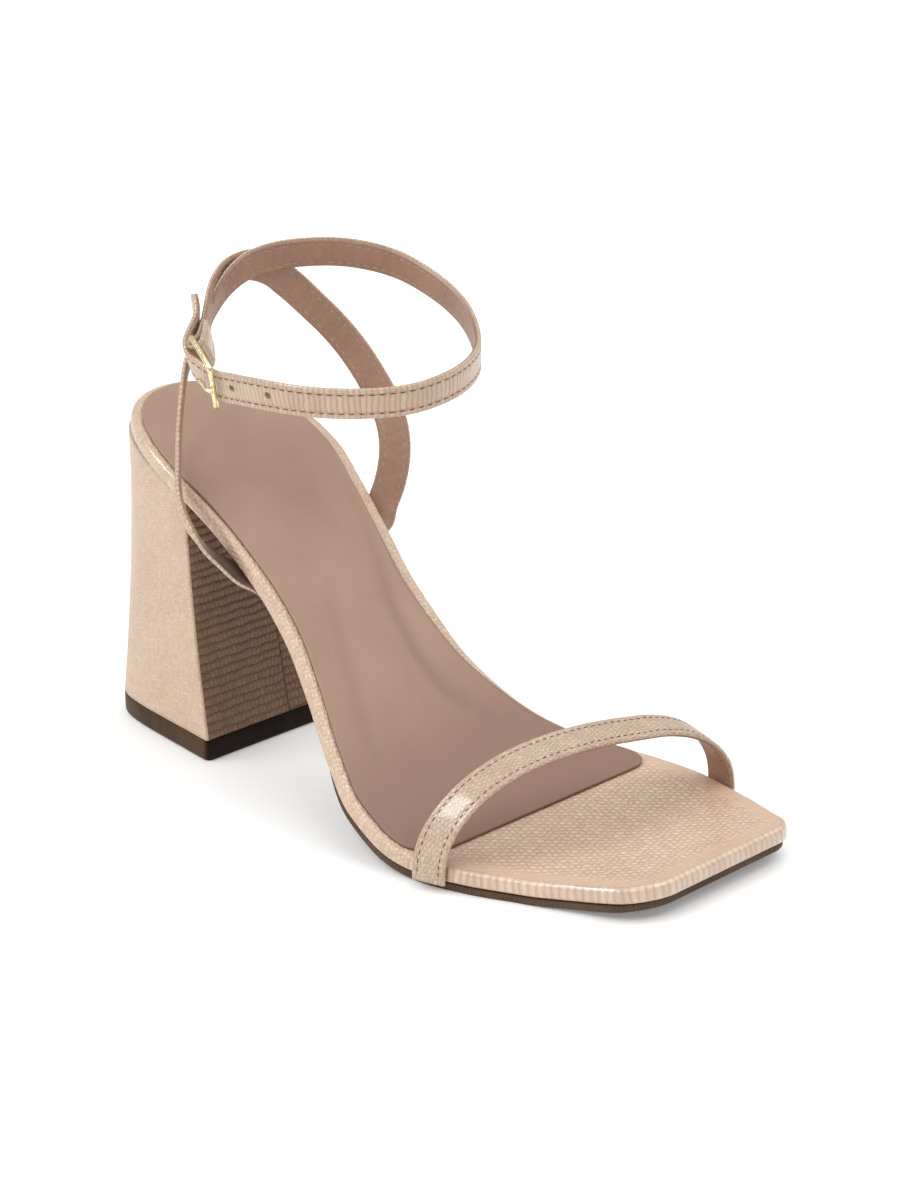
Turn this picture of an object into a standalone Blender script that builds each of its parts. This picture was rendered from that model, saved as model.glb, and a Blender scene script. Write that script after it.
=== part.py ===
"""Ankle strap sandal with a square toe and a covered block heel, one right shoe, in metres with +Z up.

The toe points along +X, the inner side of the foot is +Y and the floor is at zero, with the origin under
the middle of the heel. Sizes are in millimetres. Places along the shoe count from the back of the seat.
"""

import math
from bisect import bisect_right

import bmesh
import bpy
import numpy as np
from mathutils import Vector

# Driving sizes
MM = 0.001
GAP = 0.3
ORIGIN_X = 29.0
SHOE_END = 211.5
RIM = 4.6
SOLE = 2.1
SOCK = 0.9
LIFT = 6.5
NOSE = 44.0
NOSE_POWER = 2.1
TOE_RADIUS_LATERAL = 10.0
TOE_RADIUS_MEDIAL = 6.0
ANKLE_WIDTH = 9.2
TOE_STRAP_WIDTH = 9.8
STRAP_THICK = 1.8
FOLD_THICK = 1.4
STRAP_EASE = 0.25
STRAP_REACH = 5.0
TOE_STRAP_REACH = 4.0
BIGGEST_BEND = 14.0
ROOT_DEPTH = RIM + 1.5 * GAP + STRAP_THICK / 2
RIM_EDGE = 1.3
SOCK_EDGE = 0.25
SOLE_EDGE = 0.4
EDGE_CUT = 0.3
EDGE_SHARE = 0.4
COLUMNS = 6
BACK_FLAT = 0.35
SLOPE_HALF = 0.5
STATION = 5.0
STATION_ROOM = 1.0
END_STEPS = (0.0, 1.0, 2.4, 4.4, 7.0)

# Last: place along the shoe, outer edge, inner edge, height of the footbed's top
LAST = (
    (0.0, -31.0, 30.5, 94.8),
    (20.0, -31.0, 30.5, 90.3),
    (44.0, -31.0, 28.6, 81.3),
    (60.0, -30.8, 24.2, 73.0),
    (76.0, -30.9, 20.0, 62.2),
    (90.0, -32.3, 17.4, 50.9),
    (104.0, -36.3, 18.4, 38.0),
    (118.0, -41.6, 24.5, 24.9),
    (130.0, -44.8, 34.6, 15.0),
    (142.0, -45.0, 45.9, 9.0),
    (154.0, -42.8, 51.2, 7.0),
    (166.0, -39.0, 51.9, 7.0),
    (178.0, -33.4, 50.4, 7.0),
    (190.0, -28.0, 47.0, 7.9),
    (200.0, -23.8, 43.0, 9.1),
    (212.0, -18.9, 37.5, 11.4),
)

# Sock: place along the shoe, width of bare rim outside it, width of bare rim inside it
SOCK_INSET = (
    (0.0, 3.0, 3.0),
    (40.0, 2.2, 4.4),
    (76.0, 2.6, 4.8),
    (92.0, 2.9, 5.0),
    (108.0, 2.4, 3.8),
    (122.0, 2.2, 2.6),
    (160.0, 2.4, 2.6),
)
SOCK_START = 3.0
SOCK_END = 153.5
SOCK_CORNER = 9.0

# Outsole: place along the shoe, how far its edge is tucked in under the footbed
SOLE_INSET = (
    (40.0, 11.0),
    (80.0, 14.5),
    (96.0, 9.0),
    (112.0, 3.6),
    (126.0, 1.3),
    (140.0, 0.9),
    (212.0, 0.9),
)
SOLE_START = 52.0
SOLE_END = 209.2

# Heel outline from the back to the breast: bottom place, bottom half width, top place, top half width
HEEL = (
    (1.2, 0.0, 0.8, 0.0),
    (1.5, 8.4, 1.5, 8.2),
    (2.7, 17.2, 4.0, 15.2),
    (5.9, 23.9, 8.6, 20.6),
    (11.6, 27.6, 15.2, 24.8),
    (21.2, 29.7, 24.2, 28.3),
    (38.2, 31.5, 35.8, 30.0),
    (54.6, 33.0, 44.8, 30.5),
)
HEEL_INNER = 0.94
HEEL_TALL = 104.0
HEEL_SEAT = 76.0
HEEL_FLARE = 1.6
HEEL_LEVELS = 9
HEEL_STEPS = (0.0, 1 / 3, 2 / 3)
SEAT_CUT_TALL = 46.0
SEAT_CUT_EDGE = 0.2
SEAT_CUT_STATIONS = range(-3, 16)

# Toe strap from the outer foot to the inner one: centre line, then the direction across the strap
TOE_STRAP = (
    (156.6, -43.5, 2.5, 0.96, 0.28, 0.00),
    (156.6, -43.5, 6.6, 0.96, 0.28, 0.00),
    (157.0, -42.8, 11.2, 0.97, 0.24, -0.02),
    (157.6, -40.2, 16.4, 0.98, 0.18, -0.08),
    (158.9, -33.3, 23.0, 0.97, 0.02, -0.18),
    (161.3, -20.6, 28.8, 0.96, -0.12, -0.25),
    (163.7, -8.3, 31.0, 0.95, -0.17, -0.26),
    (166.4, 5.6, 31.4, 0.95, -0.18, -0.26),
    (169.1, 19.8, 30.2, 0.95, -0.19, -0.25),
    (170.9, 30.4, 28.5, 0.96, -0.20, -0.20),
    (172.3, 40.3, 24.6, 0.97, -0.20, -0.14),
    (173.2, 47.5, 18.8, 0.98, -0.18, -0.08),
    (173.8, 51.3, 12.6, 0.99, -0.12, -0.02),
    (174.0, 52.5, 6.8, 0.99, -0.10, 0.00),
    (174.0, 52.5, 2.5, 0.99, -0.10, 0.00),
)

# Ankle strap ends held under the footbed: place along the shoe, place across it, and how far the width is turned
OUTER_ROOTS = ((78.6, -23.6, -62.0), (75.2, -25.6, -62.0))
INNER_ROOTS = ((70.0, 15.0, 0.0), (70.0, 20.0, 0.0))

# Long ankle strap from the outer waist, round behind the ankle and across the front to its loose end
LONG_STRAP = (
    (68.7, -29.6, 60.0, 0.50, -0.80, -0.08),
    (65.3, -34.3, 64.4, 0.59, -0.69, 0.14),
    (62.7, -37.7, 68.3, 0.62, -0.62, 0.30),
    (59.2, -39.3, 72.9, 0.66, -0.54, 0.45),
    (53.3, -38.3, 78.4, 0.67, -0.50, 0.52),
    (45.5, -32.3, 90.4, 0.67, -0.50, 0.53),
    (40.0, -26.3, 102.8, 0.66, -0.48, 0.56),
    (35.6, -19.8, 112.8, 0.60, -0.44, 0.66),
    (33.6, -12.0, 120.8, 0.50, -0.38, 0.77),
    (31.6, -6.0, 126.6, 0.40, -0.32, 0.85),
    (30.2, 1.0, 131.4, 0.28, -0.24, 0.93),
    (29.9, 8.0, 134.2, 0.20, -0.20, 0.97),
    (32.2, 15.6, 135.9, 0.18, -0.19, 1.00),
    (37.6, 24.4, 136.7, 0.18, -0.19, 1.00),
    (44.6, 31.6, 136.6, 0.18, -0.19, 1.00),
    (56.6, 39.2, 134.4, 0.18, -0.19, 1.00),
    (72.0, 41.4, 129.9, 0.18, -0.19, 1.00),
    (86.6, 38.0, 125.8, 0.18, -0.19, 1.00),
    (99.6, 30.2, 122.2, 0.18, -0.19, 1.00),
    (110.4, 19.4, 120.2, 0.18, -0.19, 1.00),
    (116.6, 4.4, 118.6, 0.18, -0.19, 1.00),
    (115.4, -9.6, 117.2, 0.18, -0.19, 1.00),
    (107.6, -22.0, 116.8, 0.18, -0.19, 1.00),
    (95.8, -29.6, 116.5, 0.18, -0.19, 1.00),
    (82.0, -32.2, 115.9, 0.18, -0.19, 1.00),
    (70.0, -31.9, 114.8, 0.20, -0.20, 0.98),
    (61.2, -31.1, 114.1, 0.22, -0.24, 0.95),
    (54.4, -30.5, 115.6, 0.20, -0.34, 0.92),
    (49.2, -29.4, 117.0, 0.18, -0.44, 0.87),
    (46.0, -27.8, 119.0, 0.26, -0.48, 0.83),
    (43.2, -24.8, 121.2, 0.44, -0.50, 0.74),
    (40.6, -21.2, 123.6, 0.58, -0.50, 0.64),
    (38.4, -18.4, 126.2, 0.66, -0.50, 0.56),
    (36.4, -17.0, 128.8, 0.67, -0.50, 0.54),
    (34.8, -16.3, 131.4, 0.67, -0.50, 0.53),
)

# Short ankle strap from the inner waist, across the back of the ankle and down to the buckle
SHORT_STRAP = (
    (66.2, 24.2, 63.0, 0.85, 0.20, -0.45),
    (65.6, 26.0, 66.6, 0.82, 0.38, -0.40),
    (66.0, 28.6, 72.4, 0.78, 0.55, -0.28),
    (65.2, 31.6, 81.6, 0.72, 0.66, -0.06),
    (62.9, 33.1, 87.6, 0.70, 0.66, 0.16),
    (58.6, 34.0, 94.1, 0.65, 0.62, 0.40),
    (53.1, 33.4, 101.5, 0.60, 0.56, 0.54),
    (47.3, 31.6, 109.0, 0.55, 0.50, 0.65),
    (41.6, 29.2, 115.3, 0.48, 0.47, 0.72),
    (36.5, 26.0, 120.8, 0.36, 0.43, 0.80),
    (32.2, 21.8, 126.6, 0.20, 0.40, 0.86),
    (30.0, 16.2, 131.6, 0.10, 0.36, 0.92),
    (29.2, 10.6, 133.9, 0.08, 0.24, 0.96),
    (28.7, 5.2, 134.2, 0.20, 0.00, 0.96),
    (28.7, 0.2, 133.4, 0.36, -0.28, 0.88),
    (30.3, -4.2, 131.7, 0.46, -0.46, 0.74),
    (33.5, -9.2, 128.7, 0.52, -0.56, 0.64),
    (37.5, -13.7, 125.3, 0.52, -0.58, 0.62),
    (42.1, -18.5, 122.1, 0.42, -0.58, 0.70),
    (46.2, -23.2, 119.8, 0.18, -0.54, 0.81),
)

# Buckle: middle and direction of its back and front bars, their half length, and the line of its prong
BACK_BAR = (49.6, -26.5, 119.2, -0.05, -0.48, 0.88)
FRONT_BAR = (63.1, -33.6, 113.6, 0.15, -0.26, 0.95)
BAR_HALF = 6.6
WIRE = 0.75
FRAME_CORNER = 1.2
FOLD_RADIUS = WIRE + GAP + FOLD_THICK / 2
FOLD_TURNS = (0.0, 45.0, 90.0, 135.0, 180.0)
TAB_LIFTS = (2.0, 1.0)
TAB_INSET = 0.6
TAB_THICK = 1.25
FRAME_STEPS = (0.0, 0.5, 1.0)
WIRE_FACETS = 2
PRONG = 0.55
PRONG_LINE = (
    (56.6, -32.8, 114.6),
    (59.6, -34.0, 114.2),
    (62.6, -35.4, 113.7),
    (64.8, -35.3, 113.4),
)


def smooth(rows, column, at):
    """One column of a table at any place along the shoe, joined by a curve that never swings past its rows."""
    places = [row[0] for row in rows]
    values = [row[column] for row in rows]
    slopes = [(values[i + 1] - values[i]) / (places[i + 1] - places[i]) for i in range(len(rows) - 1)]
    turns = [slopes[0]]
    for before, after in zip(slopes, slopes[1:]):
        turns.append(2 * before * after / (before + after) if before * after > 0 else 0.0)
    turns.append(slopes[-1])
    if at <= places[0]:
        return values[0] + turns[0] * (at - places[0])
    i = min(bisect_right(places, at) - 1, len(slopes) - 1)
    span = places[i + 1] - places[i]
    t = (at - places[i]) / span
    start = values[i] * (1 + 2 * t) * (1 - t) ** 2 + turns[i] * span * t * (1 - t) ** 2
    end = values[i + 1] * t * t * (3 - 2 * t) + turns[i + 1] * span * t * t * (t - 1)
    return start + end


def bed_slope(x):
    return (smooth(LAST, 3, x + SLOPE_HALF) - smooth(LAST, 3, x - SLOPE_HALF)) / (2 * SLOPE_HALF)


def under(x, y, depth):
    """A point at a depth below the footbed's top, square to its slope."""
    slope = bed_slope(x)
    long = math.hypot(1.0, slope)
    return Vector((x + depth * slope / long, y, smooth(LAST, 3, x) - depth / long))


def round_off(x, end, radius):
    """How far a rounded corner pulls an edge in near the front end."""
    past = min(max(x - (end - radius), 0.0), radius)
    return radius - math.sqrt(radius * radius - past * past)


def nose(x, start):
    """Share of the full width that the rounded back of the seat has."""
    left = min(max((NOSE - x) / (NOSE - start), 0.0), 1.0)
    return (1.0 - left**NOSE_POWER) ** (1.0 / NOSE_POWER)


def footbed_sides(x):
    share = nose(x, 0.0)
    outer = smooth(LAST, 1, x) * share + round_off(x, SHOE_END, TOE_RADIUS_LATERAL)
    inner = smooth(LAST, 2, x) * share - round_off(x, SHOE_END, TOE_RADIUS_MEDIAL)
    return outer, inner


def sock_sides(x):
    share = nose(x, SOCK_START)
    corner = round_off(x, SOCK_END, SOCK_CORNER)
    outer = (smooth(LAST, 1, x) + smooth(SOCK_INSET, 1, x)) * share + corner
    inner = (smooth(LAST, 2, x) - smooth(SOCK_INSET, 2, x)) * share - corner
    return outer, inner


def sole_sides(x):
    tuck = smooth(SOLE_INSET, 1, x)
    outer = smooth(LAST, 1, x) + tuck + round_off(x, SOLE_END, TOE_RADIUS_LATERAL)
    inner = smooth(LAST, 2, x) - tuck - round_off(x, SOLE_END, TOE_RADIUS_MEDIAL)
    return outer, inner


def seat_cut_sides(x):
    return -SHOE_END / 4, SHOE_END / 4


def loft(name, loops, collection):
    """A closed solid through loops with the same number of points, with flat ends."""
    mesh = bmesh.new()
    rings = []
    for loop in loops:
        rings.append([mesh.verts.new(((p[0] - ORIGIN_X) * MM, p[1] * MM, p[2] * MM)) for p in loop])
    for first, second in zip(rings, rings[1:]):
        for i in range(len(first)):
            j = (i + 1) % len(first)
            mesh.faces.new((first[i], first[j], second[j], second[i]))
    mesh.faces.new(rings[0])
    mesh.faces.new(rings[-1])
    bmesh.ops.recalc_face_normals(mesh, faces=mesh.faces)
    data = bpy.data.meshes.new(name)
    mesh.to_mesh(data)
    mesh.free()
    made = bpy.data.objects.new(name, data)
    collection.objects.link(made)
    return made


def slab(name, places, sides, top, bottom, edge, collection):
    """A layer of the sole between two depths, with rounded edges all round."""
    thick = bottom - top
    slight = EDGE_CUT * edge
    pulls = {places[0]: edge, places[1]: slight, places[-2]: slight, places[-1]: edge}
    loops = []
    for x in places:
        outer, inner = sides(x)
        pull = pulls.get(x, 0.0)
        soft = min(edge, EDGE_SHARE * (thick - 2 * pull))
        cut = EDGE_CUT * soft
        high = top + pull
        low = bottom - pull
        across = [outer + soft + (inner - outer - 2 * soft) * i / COLUMNS for i in range(COLUMNS + 1)]
        loop = [(y, high) for y in across]
        loop += [(inner - cut, high + cut), (inner, high + soft)]
        loop += [(inner, low - soft), (inner - cut, low - cut)]
        loop += [(y, low) for y in reversed(across)]
        loop += [(outer + cut, low - cut), (outer, low - soft)]
        loop += [(outer, high + soft), (outer + cut, high + cut)]
        loops.append([under(x, y, depth) for y, depth in loop])
    return loft(name, loops, collection)


def curve_through(rows, reach):
    """Points and across directions along a smooth line through the rows, closer together where it bends."""
    rows = np.array(rows, float)
    steps = np.linalg.norm(np.diff(rows[:, :3], axis=0), axis=1)
    along = np.concatenate([[0.0], np.cumsum(steps)])
    slopes = np.gradient(rows, along, axis=0)
    ways = slopes[:, :3] / np.linalg.norm(slopes[:, :3], axis=1, keepdims=True)
    points = []
    for i, span in enumerate(steps):
        bend = math.degrees(math.acos(min(1.0, float(ways[i] @ ways[i + 1]))))
        count = max(1, math.ceil(span / reach), math.ceil(bend / BIGGEST_BEND))
        for t in np.arange(count) / count:
            start = rows[i] * (1 + 2 * t) * (1 - t) ** 2 + slopes[i] * span * t * (1 - t) ** 2
            end = rows[i + 1] * t * t * (3 - 2 * t) + slopes[i + 1] * span * t * t * (t - 1)
            points.append(start + end)
    points.append(rows[-1])
    return np.array(points)


def band(name, rows, width, thick, reach, collection):
    """A strap of even width swept along a line, its corners eased."""
    points = curve_through(rows, reach)
    ways = np.gradient(points[:, :3], axis=0)
    ease = STRAP_EASE * thick
    half = width / 2
    deep = thick / 2
    outline = (
        (half, deep - ease),
        (half - ease, deep),
        (ease - half, deep),
        (-half, deep - ease),
        (-half, ease - deep),
        (ease - half, -deep),
        (half - ease, -deep),
        (half, ease - deep),
    )
    loops = []
    for point, way in zip(points, ways):
        forward = Vector(way).normalized()
        across = Vector(point[3:])
        across = (across - forward * across.dot(forward)).normalized()
        out = forward.cross(across)
        loops.append([Vector(point[:3]) + across * a + out * b for a, b in outline])
    return loft(name, loops, collection)


def heel_ring(height):
    """The heel's outline at a height: square at the floor, following the seat at the top."""
    rise = max(0.0, height - LIFT - GAP) / (HEEL_SEAT - LIFT - GAP)
    share = max(0.0, 1.0 - rise) ** HEEL_FLARE
    line = []
    for bottom_x, bottom_half, top_x, top_half in HEEL:
        line.append((top_x + (bottom_x - top_x) * share, top_half + (bottom_half - top_half) * share))
    outer = [(x, -y) for x, y in reversed(line)]
    inner = [(x, HEEL_INNER * y) for x, y in line[1:]]
    path = np.array(outer + inner)
    slopes = np.gradient(path, axis=0)
    ring = []
    for i in range(len(path) - 1):
        for t in HEEL_STEPS:
            start = path[i] * (1 + 2 * t) * (1 - t) ** 2 + slopes[i] * t * (1 - t) ** 2
            end = path[i + 1] * t * t * (3 - 2 * t) + slopes[i + 1] * t * t * (t - 1)
            ring.append((*(start + end), height))
    ring.append((*path[-1], height))
    return ring


def wire(name, points, radius, closed, collection):
    """A round metal wire along a line."""
    data = bpy.data.curves.new(name, "CURVE")
    data.dimensions = "3D"
    data.bevel_depth = radius * MM
    data.bevel_resolution = WIRE_FACETS
    data.use_fill_caps = True
    spline = data.splines.new("POLY")
    spline.points.add(len(points) - 1)
    for knot, p in zip(spline.points, points):
        knot.co = ((p[0] - ORIGIN_X) * MM, p[1] * MM, p[2] * MM, 1.0)
    spline.use_cyclic_u = closed
    made = bpy.data.objects.new(name, data)
    collection.objects.link(made)
    return made


def join(target, helper, operation):
    """Adds a helper to a part, or cuts it away."""
    cut = target.modifiers.new(helper.name, "BOOLEAN")
    cut.operation = operation
    cut.solver = "EXACT"
    cut.object = helper


def paint(made, name, colour, roughness, metallic):
    skin = bpy.data.materials.get(name)
    if skin is None:
        skin = bpy.data.materials.new(name)
        skin.use_nodes = True
        shader = skin.node_tree.nodes["Principled BSDF"]
        shader.inputs["Base Color"].default_value = (*colour, 1.0)
        shader.inputs["Roughness"].default_value = roughness
        shader.inputs["Metallic"].default_value = metallic
    made.data.materials.append(skin)


def stations(start, end):
    """Places along the shoe, close together at both ends and at even steps between."""
    near = END_STEPS[-1]
    even = [i * STATION for i in range(int(SHOE_END / STATION) + 1)]
    back = [start + step for step in END_STEPS]
    front = [end - step for step in reversed(END_STEPS)]
    least, most = start + near + STATION_ROOM, end - near - STATION_ROOM
    return back + [x for x in even if least < x < most] + front


def root(x, y, degrees):
    """A strap's row held under the footbed, its width turned from the shoe's length."""
    turn = math.radians(degrees)
    along = Vector((1.0, 0.0, bed_slope(x))).normalized() * math.cos(turn)
    return (*under(x, y, ROOT_DEPTH), along.x, math.sin(turn), along.z)


for old in list(bpy.data.objects):
    bpy.data.objects.remove(old)
shoe = bpy.data.collections.new("ankle_strap_sandal")
helpers = bpy.data.collections.new("helpers")
bpy.context.scene.collection.children.link(shoe)
bpy.context.scene.collection.children.link(helpers)

# Footbed: insole board wrapped in embossed leather, its rim and toe bare
footbed = slab("footbed", stations(BACK_FLAT, SHOE_END), footbed_sides, 0.0, RIM, RIM_EDGE, shoe)
paint(footbed, "lizard_leather", (0.73, 0.53, 0.38), 0.4, 0.0)

# Sock: soft lining sheet laid on the footbed as far as the ball
sock_places = stations(SOCK_START + BACK_FLAT, SOCK_END)
sock = slab("sock", sock_places, sock_sides, -GAP - SOCK, -GAP, SOCK_EDGE, shoe)
paint(sock, "lining_leather", (0.33, 0.22, 0.17), 0.5, 0.0)

# Outsole: thin moulded sheet from the heel breast to the toe
sole_top = RIM + GAP
sole_places = stations(SOLE_START, SOLE_END)
outsole = slab("outsole", sole_places, sole_sides, sole_top, sole_top + SOLE, SOLE_EDGE, shoe)
paint(outsole, "outsole_rubber", (0.24, 0.16, 0.11), 0.6, 0.0)

# Heel: covered block, cut to the underside of the seat
levels = [LIFT + GAP + (HEEL_TALL - LIFT - GAP) * i / (HEEL_LEVELS - 1) for i in range(HEEL_LEVELS)]
heel = loft("heel", [heel_ring(height) for height in levels], shoe)
seat_places = [i * STATION for i in SEAT_CUT_STATIONS]
seat_cut = slab("seat_cut", seat_places, seat_cut_sides, -SEAT_CUT_TALL, RIM + GAP, SEAT_CUT_EDGE, helpers)
join(heel, seat_cut, "DIFFERENCE")
paint(heel, "lizard_leather", (0.73, 0.53, 0.38), 0.4, 0.0)

# Top piece: dark plate under the heel
floor_ring = heel_ring(0.0)
top_piece = loft("top_piece", [[(x, y, z) for x, y, _ in floor_ring] for z in (0.0, LIFT)], shoe)
paint(top_piece, "top_piece_rubber", (0.045, 0.026, 0.016), 0.45, 0.0)

# Toe strap: one band over the toes, let in under the rim at both sides
toe_strap = band("toe_strap", TOE_STRAP, TOE_STRAP_WIDTH, STRAP_THICK, TOE_STRAP_REACH, shoe)
paint(toe_strap, "lizard_leather", (0.73, 0.53, 0.38), 0.4, 0.0)

# Ankle straps: the long and the short strap, joined where they cross, with the end folded back at the buckle
bar = Vector(BACK_BAR[:3])
bar_way = Vector(BACK_BAR[3:]).normalized()
pull_way = Vector(SHORT_STRAP[-1][:3]) - Vector(SHORT_STRAP[-2][:3])
pull_way = (pull_way - bar_way * pull_way.dot(bar_way)).normalized()
out_way = pull_way.cross(bar_way)
fold = []
for turn in FOLD_TURNS:
    side = out_way * math.cos(math.radians(turn)) + pull_way * math.sin(math.radians(turn))
    fold.append((*(bar + side * FOLD_RADIUS), *bar_way))
tab = fold[-2:]
for row, lift in zip(reversed(SHORT_STRAP), TAB_LIFTS):
    tab.append((*(Vector(row[:3]) - out_way * lift), *row[3:]))
long_rows = [root(*row) for row in OUTER_ROOTS] + list(LONG_STRAP)
short_rows = [root(*row) for row in INNER_ROOTS] + list(SHORT_STRAP) + fold
ankle_strap = band("ankle_strap", long_rows, ANKLE_WIDTH, STRAP_THICK, STRAP_REACH, shoe)
short_strap = band("short_strap", short_rows, ANKLE_WIDTH, FOLD_THICK, STRAP_REACH, helpers)
fold_tab = band("fold_tab", tab, ANKLE_WIDTH - TAB_INSET, TAB_THICK, STRAP_REACH, helpers)
join(ankle_strap, short_strap, "UNION")
join(ankle_strap, fold_tab, "UNION")
paint(ankle_strap, "lizard_leather", (0.73, 0.53, 0.38), 0.4, 0.0)

# Buckle: a wire frame held in the fold, and its prong lying on the front bar
corners = []
for row, ends in ((BACK_BAR, (-1, 1)), (FRONT_BAR, (1, -1))):
    for end in ends:
        corners.append(Vector(row[:3]) + Vector(row[3:]).normalized() * (BAR_HALF * end))
frame_line = []
for i, corner in enumerate(corners):
    before = (corners[i - 1] - corner).normalized() * FRAME_CORNER
    after = (corners[(i + 1) % len(corners)] - corner).normalized() * FRAME_CORNER
    for t in FRAME_STEPS:
        frame_line.append(corner + before * (1 - t) ** 2 + after * t * t)
buckle_frame = wire("buckle_frame", frame_line, WIRE, True, shoe)
paint(buckle_frame, "gilt_metal", (0.83, 0.65, 0.32), 0.22, 1.0)
buckle_prong = wire("buckle_prong", PRONG_LINE, PRONG, False, shoe)
paint(buckle_prong, "gilt_metal", (0.83, 0.65, 0.32), 0.22, 1.0)

for helper in helpers.objects:
    helper.hide_render = True
    helper.display_type = "WIRE"
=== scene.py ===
import math
from bisect import bisect_right
from functools import partial

import bmesh
import bpy
import numpy as np
from mathutils import Matrix, Vector


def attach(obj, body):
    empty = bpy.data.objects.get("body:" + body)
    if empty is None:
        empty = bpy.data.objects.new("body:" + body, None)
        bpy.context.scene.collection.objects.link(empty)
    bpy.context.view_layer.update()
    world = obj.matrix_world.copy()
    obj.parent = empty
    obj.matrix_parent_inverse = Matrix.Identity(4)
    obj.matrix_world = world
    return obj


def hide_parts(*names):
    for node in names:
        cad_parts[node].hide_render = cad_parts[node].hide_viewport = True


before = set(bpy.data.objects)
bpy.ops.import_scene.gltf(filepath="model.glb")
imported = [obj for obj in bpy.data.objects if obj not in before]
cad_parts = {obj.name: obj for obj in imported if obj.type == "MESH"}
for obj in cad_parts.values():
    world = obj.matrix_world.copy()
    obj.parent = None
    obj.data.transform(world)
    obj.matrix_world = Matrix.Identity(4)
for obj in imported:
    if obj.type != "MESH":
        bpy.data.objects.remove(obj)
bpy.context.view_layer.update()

# --------------------------------------
# Footbed. The insole board, moulded to the last and wrapped in calf leather embossed like lizard skin.
# The leather is drawn over the edge and lasted under, so it shows on the rim and on the whole square toe.
MM = 0.001
ORIGIN_X = 29.0
GAP = 0.3
RIM = 4.6
RIM_EDGE = 1.5
SHOE_END = 211.5
NOSE = 44.0
NOSE_POWER = 2.1
# Of the toe's outer and inner corner
TOE_RADII = (10.0, 6.0)
# Place along the shoe, outer edge, inner edge, height of the footbed's top
LAST = (
    (0.0, -31.0, 30.5, 94.8),
    (20.0, -31.0, 30.5, 90.3),
    (44.0, -31.0, 28.6, 81.3),
    (60.0, -30.8, 24.2, 73.0),
    (76.0, -30.9, 20.0, 62.2),
    (90.0, -32.3, 17.4, 50.9),
    (104.0, -36.3, 18.4, 38.0),
    (118.0, -41.6, 24.5, 24.9),
    (130.0, -44.8, 34.6, 15.0),
    (142.0, -45.0, 45.9, 9.0),
    (154.0, -42.8, 51.2, 7.0),
    (166.0, -39.0, 51.9, 7.0),
    (178.0, -33.4, 50.4, 7.0),
    (190.0, -28.0, 47.0, 7.9),
    (200.0, -23.8, 43.0, 9.1),
    (212.0, -18.9, 37.5, 11.4),
)


def bend(start, end, leaving, arriving, t):
    """A point on the smooth curve between two rows, with its slope at either end."""
    first = start * (1 + 2 * t) * (1 - t) ** 2 + leaving * t * (1 - t) ** 2
    return first + (end * t * t * (3 - 2 * t) + arriving * t * t * (t - 1))


def smooth(rows, column, at):
    """One column of a table at any place along the shoe, on a curve that never swings past its rows."""
    places = [row[0] for row in rows]
    values = [row[column] for row in rows]
    spans = [after - before for before, after in zip(places, places[1:])]
    slopes = [(values[i + 1] - values[i]) / span for i, span in enumerate(spans)]
    turns = [slopes[0]]
    for before, after in zip(slopes, slopes[1:]):
        turns.append(2 * before * after / (before + after) if before * after > 0 else 0.0)
    turns.append(slopes[-1])
    if at <= places[0]:
        return values[0] + turns[0] * (at - places[0])
    i = min(bisect_right(places, at) - 1, len(slopes) - 1)
    t = (at - places[i]) / spans[i]
    return bend(values[i], values[i + 1], turns[i] * spans[i], turns[i + 1] * spans[i], t)


def bed_slope(x):
    return smooth(LAST, 3, x + 0.5) - smooth(LAST, 3, x - 0.5)


def under(x, y, depth):
    """A point at a depth below the footbed's top, square to its slope."""
    slope = bed_slope(x)
    long = math.hypot(1.0, slope)
    return Vector((x + depth * slope / long, y, smooth(LAST, 3, x) - depth / long))


def round_off(x, end, radius):
    """How far a rounded corner pulls an edge in near the front end."""
    past = min(max(x - (end - radius), 0.0), radius)
    return radius - math.sqrt(radius * radius - past * past)


def nose(x, start):
    """Share of the full width that the rounded back of the seat has."""
    left = min(max((NOSE - x) / (NOSE - start), 0.0), 1.0)
    return (1.0 - left**NOSE_POWER) ** (1.0 / NOSE_POWER)


def last_sides(x, end, radii, tucks=(0.0, 0.0), share=1.0):
    """Outer and inner edge of a layer of the sole, each tucked in from the last's own edge."""
    outer = (smooth(LAST, 1, x) + tucks[0]) * share + round_off(x, end, radii[0])
    inner = (smooth(LAST, 2, x) - tucks[1]) * share - round_off(x, end, radii[1])
    return outer, inner


def footbed_sides(x):
    return last_sides(x, SHOE_END, TOE_RADII, share=nose(x, 0.0))


def runs_along(points):
    """How far along its line each point of a row lies."""
    steps = np.linalg.norm(np.diff(np.array(points, float), axis=0), axis=1)
    return np.concatenate([[0.0], np.cumsum(steps)])


bed_places = np.arange(-5.0, 216.0, 0.5)
bed_runs = runs_along([(x, smooth(LAST, 3, x)) for x in bed_places])


def on_hide(x, y):
    """Where a point of the footbed lies on its leather when that is laid flat."""
    return Vector((float(np.interp(x, bed_places, bed_runs)), y))


def fine_places(start, end, back_round, front_round, step):
    """Places along the shoe, close together at both ends and at even steps between."""
    turns = [math.radians(6.0 * i) for i in range(16)]
    back = [start + back_round * (1 - math.cos(turn)) for turn in turns]
    front = [end - front_round * (1 - math.sin(turn)) for turn in turns]
    count = int((front[0] - back[-1]) / step)
    middle = [back[-1] + (front[0] - back[-1]) * i / count for i in range(1, count)]
    return back + middle + front


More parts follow.
